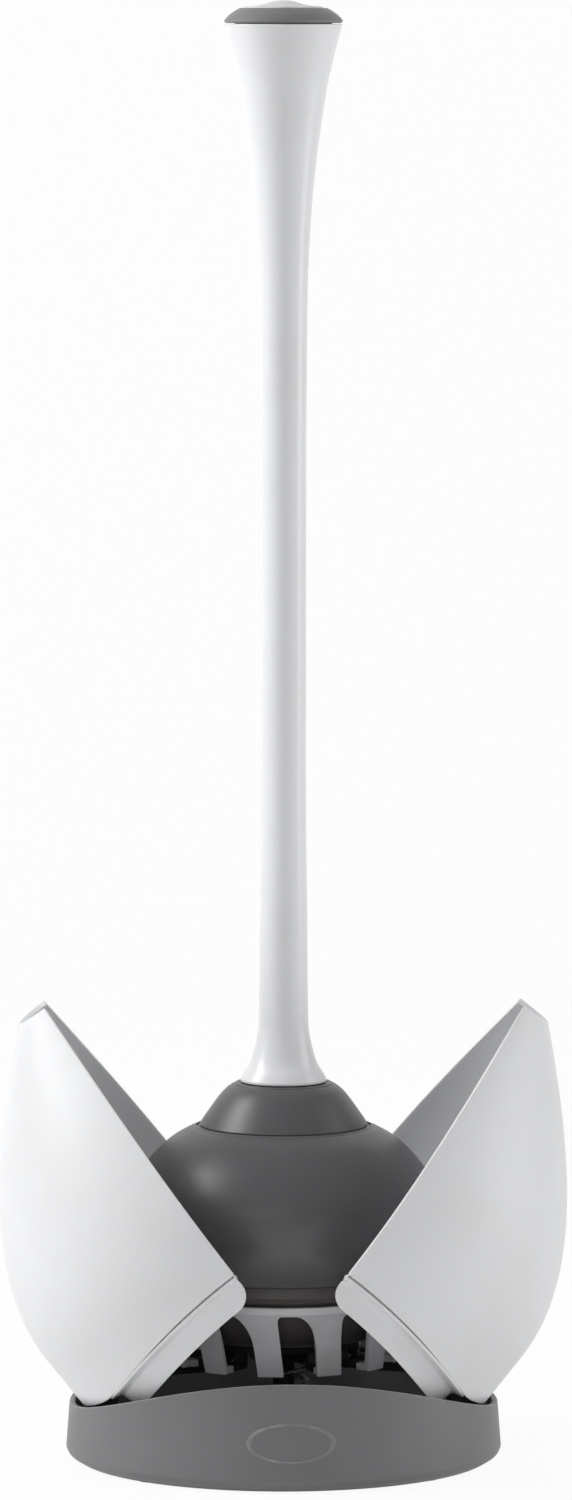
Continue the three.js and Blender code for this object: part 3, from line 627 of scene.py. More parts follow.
def makeGripCap(s):
    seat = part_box("handle")[1].z / mm
    low = seat + 0.3
    top = seat + s["height"]
    floor = top - s["recessDepth"]
    profile = rounded([
        (0, low - s["plugDepth"]), (s["plugRadius"] - 3.6, low - s["plugDepth"], 0.8),
        (s["plugRadius"], low - 1, 0.3), (s["plugRadius"], low, 0.1),
        (s["radius"] - s["seam"] * 2, low, 0.1), (s["radius"], low + 0.4, 0.3),
        (s["radius"] + s["swell"], low + 0.9, 0.4), (s["radius"] - 0.6, low + 1.9, 1),
        (s["radius"] - 1.9, low + 3.2, 1.2), (s["radius"] - 3.8, low + 4.5, 1.4),
        (s["recess"] + 1, top, 1.2), (s["recess"], top - 0.3, 0.3), (s["recess"], floor, 0.4), (0, floor),
    ], 6)
    turnedPiece("grip_cap", profile, "gripGrey", "plunger", 128)


def makeInsert(s):
    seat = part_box("handle")[1].z / mm
    edge = seat + s["edgeHeight"]
    r = s["radius"]
    dome = curveThrough([
        (r - 0.9, edge + 0.1), (r * 0.72, edge + 0.35), (r * 0.5, edge + 0.95), (r * 0.3, edge + 1.9),
        (r * 0.12, edge + s["hump"] - 0.08), (0, edge + s["hump"]),
    ], 18)
    profile = rounded([
        (0, seat + s["under"]), (r, seat + s["under"], 0.2),
        (r, edge - 0.35, 0.3), (r - 0.5, edge + 0.12, 0.2),
    ]) + dome
    bm = bmesh.new()
    verts = turnedRings(bm, profile, 128)
    for v in verts:
        radius = math.hypot(v.co.x, v.co.y) / mm
        share = max(0, (radius - r * (1 - s["border"])) / (r * s["border"]))
        if v.co.z / mm > edge - 1:
            v.co.z += s["ripple"] * mm * share * math.sin(math.atan2(v.co.y, v.co.x) * s["ripples"])
    made = objectFrom("cap_insert", bm)
    finishPiece(made, paint["insertPale"], "plunger", ["cap_insert"])


makeGripCap(capSize)
makeInsert(insertSize)
print("handle, cap and insert made")

# the rubber cup
cupSize = {
    "mouth": 50.5,
    "wall": 3.4,
    "hole": 3.9,
    "ceiling": 12.4,      # rubber above the hollow
    "lipRadius": 16.4,    # a low lip round the handle's foot
    "lipHeight": 0.25,
    # outlines as radius and depth below the top
    "collar": ((19.1, 0.5), (21.6, 2.4), (24.4, 5.6), (28.9, 11.9), (30.5, 14.3)),
    "shoulder": ((33.2, 16.4), (35.4, 17), (42.6, 21.4), (50.4, 29.3), (56.3, 39), (57.5, 47.7), (55.9, 57)),
    "hollow": ((55.9, 57), (57.5, 47.7), (56.1, 39.5), (50.4, 31.5)),   # before the wall is taken off
}


def makeCup(s):
    low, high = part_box("cup")
    top, bottom = high.z / mm, low.z / mm
    wall = s["wall"]

    def outline(name, less=0):
        return [(radius - less, top - depth) for radius, depth in s[name]]

    lip = rounded([
        (s["hole"], top, 0.2), (s["lipRadius"] - 0.2, top, 0.1), (s["lipRadius"], top + s["lipHeight"], 0.2),
        (s["lipRadius"] + 1.3, top + s["lipHeight"], 0.4), (s["lipRadius"] + 2.1, top - 0.35, 0.3),
    ], 4)[6:]
    collar = curveThrough(outline("collar"), 26)
    edge = rounded([
        (30.3, top - 14), (31.2, top - 15.3, 0.5), (31.0, top - 16, 0.25), (33.2, top - 16.4, 0.6),
    ], 5)[1:]
    shoulder = curveThrough(outline("shoulder") + [(s["mouth"] + 0.5, bottom + 1.2)], 78)[1:]
    mouth = rounded([
        (s["mouth"] + 0.6, bottom + 1.5), (s["mouth"], bottom, 0.7), (s["mouth"] - wall, bottom, 0.5),
        (s["mouth"] - wall + 0.3, bottom + 1),
    ], 5)[1:]
    crown = [(38.5, top - 23), (28, top - s["ceiling"] - 2.4), (22, top - s["ceiling"] - 0.3)]
    inside = curveThrough([(s["mouth"] - wall + 0.3, bottom + 1)] + outline("hollow", wall) + crown, 50)[1:]
    ceiling = [(19, top - s["ceiling"]), (s["hole"], top - s["ceiling"])]
    profile = [(s["hole"], top)] + lip + collar + edge + shoulder + mouth + inside + ceiling
    turnedPiece("cup", profile, "cupRubber", "plunger", 160)


makeCup(cupSize)

# the drain flange that seats in the basket's ring
flangeSize = {
    "wall": 2.6,
    "neckRadius": 46.8,
    "lipRadius": 47.7,
    "seatRadius": 46.2,
    "endRadius": 35.0,
    "gap": 0.3,          # below the cup and above the basket
}


def makeFlange(s):
    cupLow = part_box("cup")[0].z / mm
    low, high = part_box("drain_flange")
    bottom, top = low.z / mm, high.z / mm
    lipTop = cupLow - s["gap"]
    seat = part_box("basket")[1].z / mm + s["gap"]
    neck, lip, wall, end = s["neckRadius"], s["lipRadius"], s["wall"], s["endRadius"]
    bell = curveThrough([
        (s["seatRadius"] - 2.6, seat - 4.7), (end + 4.8, seat - 11.3), (end + 0.4, bottom + 1),
    ], 14)
    outer = rounded([
        (neck, top, 0.5), (neck, lipTop, 0.1), (lip, lipTop, 0.6),
        (lip, seat + 2.9, 0.9), (lip - 0.7, seat + 1.8, 0.6), (s["seatRadius"], seat, 0.4),
    ], 5)
    profile = outer + bell + [(end, bottom), (end - wall, bottom)]
    profile += [(radius - wall, height) for radius, height in reversed(bell)]
    profile += [(s["seatRadius"] - wall - 1, seat - 0.3), (neck - wall, lipTop + 1), (neck - wall, top)]
    turnedPiece("drain_flange", profile, "flangeRubber", "plunger", 144)


makeFlange(flangeSize)

# the clamp that holds the cup to the handle
def makeClamp():
    low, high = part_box("clamp_washer")
    reach = high.x / mm
    hole = handleSize["bore"]
    profile = rounded([
        (hole, low.z / mm, 0.3), (reach - 0.6, low.z / mm, 0.8),
        (reach, high.z / mm, 0.4), (hole, high.z / mm, 0.3),
    ], 5)
    turnedPiece("clamp_washer", profile, "steel", "plunger", 64)
    made = copyOf("clamp_screw", 0.35)
    finishPiece(made, paint["steel"], "plunger", ["clamp_screw"])


makeClamp()
print("cup, drain flange and clamp made")

# the base
baseSize = {
    "radius": 80.7,
    "draft": 2.7,
    "wall": 2.2,
    "wallFoot": 4.4,      # the wall is straight from here up
    "rimSide": 21.0,      # the rim is low at the sides
    "rimRise": 19.0,      # and this much higher at front and back
    "rimRound": 0.55,
    "ledge": 16.0,
    "ledgeThickness": 2.4,
    "lift": 0.4,
    "segments": 240,
}


def saddle(y):
    rim = baseSize["radius"] - baseSize["draft"]
    return baseSize["rimSide"] + baseSize["rimRise"] * (y / rim) ** 2


def baseRadiusAt(z):
    # the outer face leans in as it rises
    s = baseSize
    lean = s["draft"] / (s["rimSide"] + s["rimRise"] - s["wallFoot"])
    return s["radius"] - (z - s["wallFoot"]) * lean


def makeBase(s):
    bm = bmesh.new()
    columns = []
    rimRadius = s["radius"] - s["draft"]
    inner = rimRadius - s["ledge"]
    ledgeTop = s["lift"] + s["ledgeThickness"]
    foot = [(inner, s["lift"], 0.3), (s["radius"] - 4.2, s["lift"], 1.5), (s["radius"] - 0.9, 2.4, 2.4)]
    ledge = [(baseRadiusAt(3) - s["wall"] - 0.6, ledgeTop, 0.8), (inner, ledgeTop, 0.4)]
    for k in range(s["segments"]):
        a = 2 * math.pi * k / s["segments"]
        top = saddle(rimRadius * math.sin(a))
        topInside = saddle((rimRadius - s["wall"]) * math.sin(a))
        heights = [s["wallFoot"] + (top - s["wallFoot"] - 1) * t / 10 for t in range(11)]
        outside = [(baseRadiusAt(z), z, 0) for z in heights]
        outside[0] = (*outside[0][:2], 1.4)
        rimOut = baseRadiusAt(top)
        rim = [(rimOut, top, s["rimRound"]), (rimOut - s["wall"], topInside, s["rimRound"])]
        line = rounded(foot + outside + rim + ledge, 4)
        columns.append([vertexAt(bm, radius, a, z) for radius, z in line])
    gridFaces(bm, columns + columns[:1], wrap=True)
    made = objectFrom("base_shell", bm)
    finishPiece(made, paint["baseGrey"], "base", ["base_shell"])


makeBase(baseSize)

# a plain oval boss at the front of the base, left blank
bossSize = {
    "width": 34.0,
    "height": 15.0,
    "middle": 18.5,
    "stand": 0.1,         # how far its face stands off the base
    "rise": 0.35,         # of the border line above the face
    "borderAt": 0.9,      # as a share of the way out
    "borderWidth": 0.035,
    "edgeFrom": 0.97,     # from here out it drops into the base
    "edgeDrop": 0.45,
    "thickness": 0.8,
    "rings": 26,
    "segments": 120,
}


def makeBoss(s):
    bm = bmesh.new()
    rows = []
    for j in range(s["rings"] + 1):
        share = j / s["rings"]
        border = math.exp(-(((share - s["borderAt"]) / s["borderWidth"]) ** 2))
        rise = s["stand"] + s["rise"] * border
        if share > s["edgeFrom"]:
            rise = s["stand"] - (share - s["edgeFrom"]) / (1 - s["edgeFrom"]) * s["edgeDrop"]
        row = []
        for k in range(1 if j == 0 else s["segments"]):
            a = 2 * math.pi * k / s["segments"]
            across = s["width"] / 2 * share * math.cos(a)
            z = s["middle"] + s["height"] / 2 * share * math.sin(a)
            turn = across / baseSize["radius"] - math.pi / 2
            row.append(vertexAt(bm, baseRadiusAt(z) + rise, turn, z))
        rows.append(row)
    for k in range(s["segments"]):
        bm.faces.new((rows[0][0], rows[1][k], rows[1][(k + 1) % s["segments"]]))
    gridFaces(bm, rows[1:], wrap=True)
    made = objectFrom("front_boss", bm)
    addThickness(made, s["thickness"])
    finishPiece(made, paint["baseGrey"], "base")


makeBoss(bossSize)


def makeFloorPlate():
    made = copyOf("base_floor", 0.4)
    # the floor plate is painted near black as shade
    finishPiece(made, paint["innerBlack"], "base", ["base_floor"])


padSize = {"grooves": (0.36, 0.7), "grooveHalf": 0.06, "grooveDepth": 0.25}   # radii as shares of the pad's


def makePads(s):
    half = s["grooveHalf"]
    for i in range(1, 5):
        node = "foot_pad_%d" % i
        low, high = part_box(node)
        middle = (low + high) / 2
        r, tall = (high.x - low.x) / 2 / mm, (high.z - low.z) / mm
        under = [(0, 0)]
        for share in s["grooves"]:
            under += [(r * (share - half), 0), (r * share, s["grooveDepth"], 0.1), (r * (share + half), 0)]
        profile = rounded(under + [(r, 0, 0.4), (r, tall, 0.3), (0, tall)], 4)
        spot = Matrix.Translation((middle.x, middle.y, low.z))
        turnedPiece(node, profile, "padRubber", "base", 48, spot)


makeFloorPlate()
makePads(padSize)

# guide post, its stop and the return spring
postSize = {
    "radius": 4.0,
    "boreLow": 1.75,
    "boreDepth": 12.0,
    "socketWall": 1.9,
    "flange": 7.0,
    "stemDepth": 9.0,
    "stemGap": 0.3,
}
stopSize = {"stem": 1.9, "head": 2.2, "dimple": 2.2, "dimpleFloor": 1.6, "dimpleDepth": 0.7}


def socketHeight():
    # the top of the socket round the post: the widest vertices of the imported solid
    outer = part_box("guide_post")[1].x
    verts = frame["nodes"]["guide_post"].data.vertices
    return max(v.co.z for v in verts if math.hypot(v.co.x, v.co.y) > outer * 0.99) / mm


def makePost(s):
    low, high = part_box("guide_post")
    bottom, top = low.z / mm, high.z / mm
    outer = high.x / mm
    bore = outer - s["socketWall"]
    socket = socketHeight()
    stem = stopSize["stem"] + s["stemGap"]
    profile = rounded([
        (s["boreLow"], bottom), (outer, bottom, 0.4), (outer, socket, 0.6), (bore, socket, 0.6),
        (bore, s["flange"], 0.6), (s["radius"], s["flange"], 0.8), (s["radius"], top, 0.4),
        (stem, top, 0.2), (stem, top - s["stemDepth"]), (0, top - s["stemDepth"]),
        (0, bottom + s["boreDepth"]), (s["boreLow"], bottom + s["boreDepth"]),
    ], 5)
    # the post is painted near black as shade
    turnedPiece("guide_post", profile, "innerBlack", "base", 72)


def makeStop(s):
    low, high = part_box("post_stop")
    foot, r, top = low.z / mm, high.x / mm, high.z / mm
    under, floor = top - s["head"], top - s["dimpleDepth"]
    profile = rounded([
        (0, foot), (s["stem"], foot, 0.3), (s["stem"], under, 0.1), (r, under, 0.4), (r, top - 1, 0.4),
        (r - 1, top, 0.6), (s["dimple"], top, 0.3), (s["dimpleFloor"], floor, 0.2), (0, floor),
    ], 5)
    # the stop is painted near black as shade
    turnedPiece("post_stop", profile, "innerBlack", "base", 64)


springSize = {
    "wire": 0.9,          # radius of the wire
    "turns": 9,
    "closed": 0.8,        # turns at each end that lie closed
    "closedPitch": 2.1,   # as a share of the wire's radius
    "steps": 40,
    "sides": 12,
}


def makeSpring(s):
    low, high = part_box("return_spring")
    radius = high.x / mm - s["wire"]
    bottom, top = low.z / mm + s["wire"], high.z / mm - s["wire"]
    pitch = s["wire"] * s["closedPitch"]
    ends = s["closed"]
    bm = bmesh.new()
    rows = []

    def heightAt(turn):
        # end turns lie closed, the rest spread evenly
        if turn < ends:
            return bottom + pitch * turn
        if turn > s["turns"] - ends:
            return top - pitch * (s["turns"] - turn)
        share = (turn - ends) / (s["turns"] - 2 * ends)
        return bottom + pitch * ends + (top - bottom - 2 * pitch * ends) * share

    for i in range(s["turns"] * s["steps"] + 1):
        turn = i / s["steps"]
        a = 2 * math.pi * turn
        middle = Vector((radius * math.cos(a), radius * math.sin(a), heightAt(turn)))
        out = Vector((math.cos(a), math.sin(a), 0))
        row = []
        for k in range(s["sides"]):
            b = 2 * math.pi * k / s["sides"]
            p = middle + out * s["wire"] * math.cos(b) + Vector((0, 0, s["wire"])) * math.sin(b)
            row.append(bm.verts.new(p * mm))
        rows.append(row)
    gridFaces(bm, rows, wrap=True)
    bm.faces.new(rows[0])
    bm.faces.new(rows[-1][::-1])
    made = objectFrom("return_spring", bm)
    # the spring is darkened as painted shade
    finishPiece(made, paint["paintedShadeSteel"], "base", ["return_spring"])
    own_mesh(made)


makePost(postSize)
makeStop(stopSize)
makeSpring(springSize)
print("base, post and spring made")

# screws, with a cross recess in the head
screwSize = {
    "shank": 1.5,
    "head": 2.9,
    "tall": 1.7,          # of the head
    "crown": 0.42,        # share of the head's height that is domed
    "crownRings": 16,
    "slotHalf": 0.32,
    "slotReach": 1.7,
    "slotDepth": 0.9,
    "slotRise": 0.35,     # how much the recess shallows towards its ends
    "slotFrom": 0.55,     # the recess is cut above this share of the head
    "segments": 64,
    "postLength": 9,
    "blockLength": 7,
    "doorLength": 6,
    "blockTurn": 0.4,     # how far round each head ended up
    "doorTurn": 0.7,
}


def makeScrew(name, length, body, placeAt, finish="steel", s=screwSize):
    # the head's underside is at zero, and the shank runs down
    bm = bmesh.new()
    shank = rounded([
        (0, -length), (s["shank"] * 0.5, -length, 0.1), (s["shank"], -length + s["shank"], 0.2),
        (s["shank"], 0), (s["head"], 0, 0.15), (s["head"], s["tall"] * 0.5, 0.3),
    ], 4)
    crown = []
    for j in range(s["crownRings"]):
        share = 1 - j / s["crownRings"]
        crown.append((s["head"] * 0.97 * share, s["tall"] - (s["tall"] * s["crown"]) * share**3))
    profile = shank + crown + [(0, s["tall"])]
    verts = turnedRings(bm, profile, s["segments"])
    for v in verts:
        x, y, z = (c / mm for c in v.co)
        share = math.hypot(x, y) / s["slotReach"]
        if z > s["tall"] * s["slotFrom"] and share < 1 and min(abs(x), abs(y)) < s["slotHalf"]:
            v.co.z = (s["tall"] - s["slotDepth"] * (1 - share * s["slotRise"])) * mm
    bmesh.ops.transform(bm, matrix=placeAt, verts=bm.verts)
    made = objectFrom(name, bm)
    finishPiece(made, paint[finish], body, [name], crease=40)


def openDoor(side):
    # where a door's closed-up frame stands when the door is open
    joint = joints[side + "_door_hinge"]
    pivot = Vector(joint["pos_m"])
    turn = Matrix.Rotation(-math.radians(joint["range_deg"][1]), 4, "Y")
    if side == "left":
        return Matrix.Translation(pivot) @ turn @ Matrix.Translation(-pivot)
    pivot.x = -pivot.x
    half = Matrix.Rotation(math.pi, 4, "Z")
    return half @ Matrix.Translation(pivot) @ turn @ Matrix.Translation(-pivot)


# where an arm's plate and its screws lie in a shut door
armSize = {
    "plateX": 71.4,
    "plateThickness": 2.4,
    "plateGap": 0.3,
    "screwY": (-9.0, 9.0),
    "screwHeight": 42.3,
    "bossRadius": 3.6,
}


def makeScrews(s, arm):
    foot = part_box("post_screw")[0].z
    spot = Matrix.Translation((0, 0, foot + s["tall"] * mm))
    makeScrew("post_screw", s["postLength"], "base", spot @ Matrix.Rotation(math.pi, 4, "X"))
    for side in ("left", "right"):
        for i in (1, 2):
            node = "%s_block_screw_%d" % (side, i)
            low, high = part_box(node)
            spot = Matrix.Translation(((low.x + high.x) / 2, (low.y + high.y) / 2, high.z - s["tall"] * mm))
            turned = Matrix.Rotation(s["blockTurn"] * i, 4, "Z")
            # the block screws are darkened as painted shade
            makeScrew(node, s["blockLength"], "base", spot @ turned, "paintedShadeSteel")
            x, y = -arm["plateX"] + arm["plateGap"], arm["screwY"][i - 1]
            spot = Matrix.Translation((x * mm, y * mm, arm["screwHeight"] * mm))
            turned = Matrix.Rotation(math.pi / 2, 4, "Y") @ Matrix.Rotation(s["doorTurn"] * i, 4, "Z")
            node = "%s_door_screw_%d" % (side, i)
            makeScrew(node, s["doorLength"], side + "_door", openDoor(side) @ spot @ turned)


makeScrews(screwSize, armSize)


# hinge blocks, pins and arms
pinSize = {"headShare": 1.7, "headTall": 1.2, "tip": 0.6}   # the head is this much wider than the pin


def makeHinges(s):
    for side in ("left", "right"):
        block = copyOf(side + "_hinge_block", 0.35)
        # hinge blocks and arms are painted near black as shade
        finishPiece(block, paint["innerBlack"], "base", [side + "_hinge_block"])
        arm = copyOf(side + "_door_arm", 0.35)
        finishPiece(arm, paint["innerBlack"], side + "_door", [side + "_door_arm"])
        node = side + "_hinge_pin"
        low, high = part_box(node)
        middle = (low + high) / 2
        half = (high.y - low.y) / 2 / mm
        head = (high.x - low.x) / 2 / mm
        r = head / s["headShare"]
        under = half - s["headTall"]
        profile = rounded([
            (0, -half), (r * 0.8, -half, 0.1), (r, -half + s["tip"], 0.2), (r, under, 0.1),
            (head, under, 0.2), (head, half - 0.3, 0.3), (head * 0.7, half, 0.2), (0, half),
        ], 4)
        point = -1 if side == "left" else 1
        spot = Matrix.Translation(middle) @ Matrix.Rotation(point * math.pi / 2, 4, "X")
        turnedPiece(node, profile, "steel", "base", 40, spot)


makeHinges(pinSize)
print("screws and hinges made")

# the doors: each is half a dome with a recessed skirt under its lower edge
doorSize = {
    "height": 154.8,      # of the dome when it is shut
    "radius": 79.9,
    "mouth": 12.0,
    "wall": 2.5,
    "seam": 0.25,         # half the gap between the shut doors
    "rimGap": 1.8,
    "sideEdge": 28.2,
    "edgeSoft": 1.2,      # blends the lower edge from the rim's line to level
    "shoulder": 104.0,    # depth below the top where the wall turns nearly upright
    "crown": (0.52, 0.473),     # the pull of the crown's curve, out and down, by the radius
    "side": 0.425,              # and of the side's curve, up
    "lean": 0.7,                # the wall comes in this much from the shoulder to the base
    "across": 96,               # divisions round half the dome
    "domeRows": 40,
    "down": 56,
    "edgeRound": 1.15,
    "skirtRound": 0.6,
    "skirtRadius": 75.3,
    "skirtWall": 2.2,
    "skirtDepth": 9.8,
    "skirtCorner": 6.5,
    "skirtBack": 0.35,          # how far the skirt stands back from the seam
    "skirtEnd": (59.0, 53.5),   # degrees round from the seam, at its top and bottom
    "skirtCurl": 1.6,
    "skirtCurlFrom": 0.86,
    "skirtTop": 1.4,            # above the door's lower edge
    "skirtBlend": 1.55,
    "skirtSoft": 0.2,
    "skirtAcross": 64,
    "skirtDown": 22,
}


def lowerEdge(y, s):
    # the shut door's lower edge follows the rim, and runs level at the sides
    follow = saddle(y) + s["rimGap"]
    level = s["sideEdge"]
    gap = follow - level
    return level + (gap + math.hypot(gap, s["edgeSoft"])) / 2


def domeRadiusAt(s, t):
    # the outer line of the dome from its mouth (0) to the shoulder (1), as radius and height
    r = s["radius"]
    start, end = Vector((s["mouth"], 0)), Vector((r, s["shoulder"]))
    a = start + Vector(s["crown"]) * r
    b = end - Vector((0, r * s["side"]))
    p = start * (1 - t) ** 3 + a * 3 * t * (1 - t) ** 2 + b * 3 * t * t * (1 - t) + end * t**3
    return p.x, s["height"] - p.y


def shellGrid(s):
    bm = bmesh.new()
    low = s["height"] - s["shoulder"]
    upper = s["domeRows"]
    rows = []
    for j in range(s["down"] + 1):
        row = []
        for i in range(s["across"] + 1):
            u = i / s["across"]
            if j <= upper:
                radius, z = domeRadiusAt(s, j / upper)
            else:
                share = (j - upper) / (s["down"] - upper)
                edge = lowerEdge(s["radius"] * math.cos(math.pi * u), s)
                z = low + (edge - low) * share
                radius = s["radius"] - s["lean"] * (low - z) / (low - baseSize["rimSide"])
            start = math.asin(min(s["seam"] / radius, 1))
            row.append(vertexAt(bm, radius, math.pi / 2 + start + (math.pi - 2 * start) * u, z))
        rows.append(row)
    gridFaces(bm, rows)
    return bm


def skirtGrid(s, side):
    # the front (-1) or back (1) skirt, from the seam round to its curled end
    bm = bmesh.new()
    rows = []
    r, corner = s["skirtRadius"], s["skirtCorner"]
    back = s["seam"] + s["skirtBack"]
    first = math.degrees(math.asin(back / r))
    for j in range(s["skirtDown"] + 1):
        v = j / s["skirtDown"]
        end = s["skirtEnd"][0] + (s["skirtEnd"][1] - s["skirtEnd"][0]) * v
        row = []
        for i in range(s["skirtAcross"] + 1):
            u = (i / s["skirtAcross"]) ** 1.5      # closer together by the seam, where the corner is round
            angle = math.radians(first + (end - first) * u)
            fromSeam = r * math.sin(angle) - back
            rim = saddle(r * math.cos(angle)) + s["rimGap"]
            rise = 0.0
            if fromSeam < corner:
                rise = corner - math.sqrt(max(corner**2 - (corner - fromSeam) ** 2, 0))
            bottom = rim - s["skirtDepth"] + rise
            top = rim + s["skirtTop"]
            z = top + (bottom - top) * v
            lift = min(max((z - rim + s["skirtBlend"]) / (s["skirtBlend"] + s["skirtSoft"]), 0), 1)
            away = max(0, (u - s["skirtCurlFrom"]) / (1 - s["skirtCurlFrom"]))
            radius = r + (s["radius"] - s["wall"] * 0.25 - r) * lift**2 - s["skirtCurl"] * away**2
            x, y = -math.sin(angle) * radius, side * math.cos(angle) * radius
            row.append(bm.verts.new((x * mm, y * mm, z * mm)))
        rows.append(row)
    gridFaces(bm, rows)
    return bm


def outward(bm):
    # faces point away from the Z axis before the wall is thickened inwards
    bm.normal_update()
    middle = max(bm.faces, key=lambda f: f.calc_area())
    spot = middle.calc_center_median()
    if middle.normal.dot(Vector((spot.x, spot.y, 0))) < 0:
        bmesh.ops.reverse_faces(bm, faces=bm.faces)


def walled(name, bm, thickness, edge, segments=3):
    # a sheet thickened inwards, with its edges rounded
    outward(bm)
    made = objectFrom(name, bm, normals=False)
    addThickness(made, thickness)
    addBevel(made, edge, segments, 45)
    return made


def joined(name, parts):
    bm = bmesh.new()
    for part in parts:
        settle(part)
        bm.from_mesh(part.data)
        bpy.data.objects.remove(part)
    return objectFrom(name, bm, normals=False)


def screwBoss(s, y):
    bm = bmesh.new()
    start = armSize["plateX"] + armSize["plateThickness"] + armSize["plateGap"]
    end = s["radius"] - s["wall"] + 0.6
    r, hole = armSize["bossRadius"], screwSize["shank"] + 0.05
    profile = rounded([
        (hole, start, 0.1), (r, start, 0.4), (r, end - 0.6, 0.1), (r + 0.8, end), (hole, end),
    ], 4)
    spot = Matrix.Translation((0, y * mm, armSize["screwHeight"] * mm))
    turnedRings(bm, profile, 40, spot @ Matrix.Rotation(-math.pi / 2, 4, "Y"))
    return objectFrom("boss", bm)


def makeDoor(side, s):
    parts = [walled("shell", shellGrid(s), s["wall"], s["edgeRound"], 4)]
    parts += [walled("skirt", skirtGrid(s, y), s["skirtWall"], s["skirtRound"]) for y in (-1, 1)]
    parts += [screwBoss(s, y) for y in armSize["screwY"]]
    made = joined(side + "_door_shell", parts)
    for v in made.data.vertices:
        v.co.x = min(v.co.x, -s["seam"] * mm)   # nothing crosses the seam
    made.data.transform(openDoor(side))
    finishPiece(made, paint["doorWhite"], side + "_door", [side + "_door_shell"])


for side in ("left", "right"):
    makeDoor(side, doorSize)
print("doors made")

# the basket: a ring on leaning slats with feet that turn in, on a hub painted near black as shade
basketSize = {
    "top": 63.0,
    "ring": 2.9,
    "radius": 49.3,
    "wall": 2.0,
    "upperRadius": 48.1,
    "kneeRadius": 44.7,
    "kneeHeight": 50.0,
    "footRadius": 42.3,
    "footHeight": 36.4,
    "count": 12,
    "slatWidth": 10.0,
    "phase": -100.0,
    "head": 0.5,           # plain wall between the ring and the gaps
    "wide": (6.8, 12.5),   # the sweeping corner: width and height
    "tight": (1.8, 3.6),
    "lean": 2.4,           # how far a slat leans over its height
    "foot": 2.5,
    "footWidth": 7.4,
    "footReach": 6.6,
    "edge": 0.45,
    "slatColumns": 14,     # divisions across a slat and across a gap
    "gapColumns": 6,
    "slatRows": 26,
    "bandRows": 3,
}
hubSize = {
    "spoke": 5.0,
    "rise": 6.0,
    "riser": 2.6,
    "sleeveWall": 2.4,
    "sleeveLow": 37.1,
    "slideGap": 0.25,      # round the post
    "gap": 0.3,
    "edge": 0.4,
}


def basketRadiusAt(s, z):
    # the cage's outer face from its feet up
    heights = (s["footHeight"], s["kneeHeight"], s["top"] - s["ring"] - s["head"], s["top"])
    radii = (s["footRadius"], s["kneeRadius"], s["upperRadius"] - 0.1, s["upperRadius"])
    return float(np.interp(z, heights, radii))


def sweptCorner(size, drop):
    # how far a slat's edge stands out, this far below the top of the gap
    width, tall = size
    share = max(1 - drop / tall, 0)
    return width * (1 - math.sqrt(1 - min(share, 1) ** 2))


def slatEdges(s, drop):
    # left and right edge of a slat as seen from outside, in millimetres round from its middle
    half = s["slatWidth"] / 2
    return -half - sweptCorner(s["wide"], drop), half + sweptCorner(s["tight"], drop)


def slatLean(s, z):
    gapTop = s["top"] - s["ring"] - s["head"]
    share = (gapTop - z) / (gapTop - s["footHeight"])
    return s["lean"] * (max(share, 0) - 0.5) / s["footRadius"]


def cageWall(s):
    # the slats and the band above the gaps, as one sheet
    bm = bmesh.new()
    gapTop = s["top"] - s["ring"] - s["head"]
    pitch = 2 * math.pi / s["count"]
    slatColumns, gapColumns = s["slatColumns"], s["gapColumns"]
    columns = slatColumns + gapColumns
    around = columns * s["count"]
    shares = [1 - math.cos(math.pi / 2 * k / s["slatRows"]) for k in range(s["slatRows"] + 1)]
    lowRows = [gapTop - (gapTop - s["footHeight"]) * share for share in shares]
    bandTall = s["head"] + s["ring"] * 0.6
    highRows = [gapTop + bandTall * k / s["bandRows"] for k in range(s["bandRows"] + 1)]
    knee = s["kneeRadius"]
    made = {}

    def vertex(key, turn, z):
        if key not in made:
            made[key] = vertexAt(bm, basketRadiusAt(s, z), turn, z)
        return made[key]

    for i in range(s["count"]):
        middle = math.radians(s["phase"]) + pitch * i
        left, right = slatEdges(s, 0)
        start = middle + slatLean(s, gapTop) + left / knee
        end = middle + slatLean(s, gapTop) + right / knee
        turns = [start + (end - start) * k / slatColumns for k in range(slatColumns)]
        turns += [end + (start + pitch - end) * k / gapColumns for k in range(gapColumns + 1)]
        for j in range(len(highRows) - 1):
            for k in range(columns):
                face = []
                for a, b in ((j, k), (j, k + 1), (j + 1, k + 1), (j + 1, k)):
                    face.append(vertex(("band", a, (i * columns + b) % around), turns[b], highRows[a]))
                bm.faces.new(face)
        for j in range(len(lowRows) - 1):
            for k in range(slatColumns):
                face = []
                for a, b in ((j + 1, k), (j + 1, k + 1), (j, k + 1), (j, k)):
                    if a == 0:
                        face.append(vertex(("band", 0, (i * columns + b) % around), turns[b], gapTop))
                        continue
                    z = lowRows[a]
                    left, right = slatEdges(s, gapTop - z)
                    turn = middle + slatLean(s, z) + (left + (right - left) * b / slatColumns) / knee
                    face.append(vertex(("slat", i, a, b), turn, z))
                bm.faces.new(face)
    return walled("wall", bm, s["wall"], s["edge"])


def radialBar(outline, width, turn, edge):
    # a bar along a radius, from its side outline in (radius, height)
    bm = bmesh.new()
    ends = [[bm.verts.new((x * mm, side * width / 2 * mm, z * mm)) for x, z in outline] for side in (-1, 1)]
    bm.faces.new(ends[0])
    bm.faces.new(ends[1][::-1])
    gridFaces(bm, ends, wrap=True)
    bmesh.ops.transform(bm, matrix=Matrix.Rotation(turn, 4, "Z"), verts=bm.verts)
    bar = objectFrom("bar", bm)
    addBevel(bar, edge, 2, 60)
    return bar


def footTurns(s):
    # where each slat's foot stands round the basket
    first = math.radians(s["phase"])
    return [first + 2 * math.pi / s["count"] * i + slatLean(s, s["footHeight"]) for i in range(s["count"])]


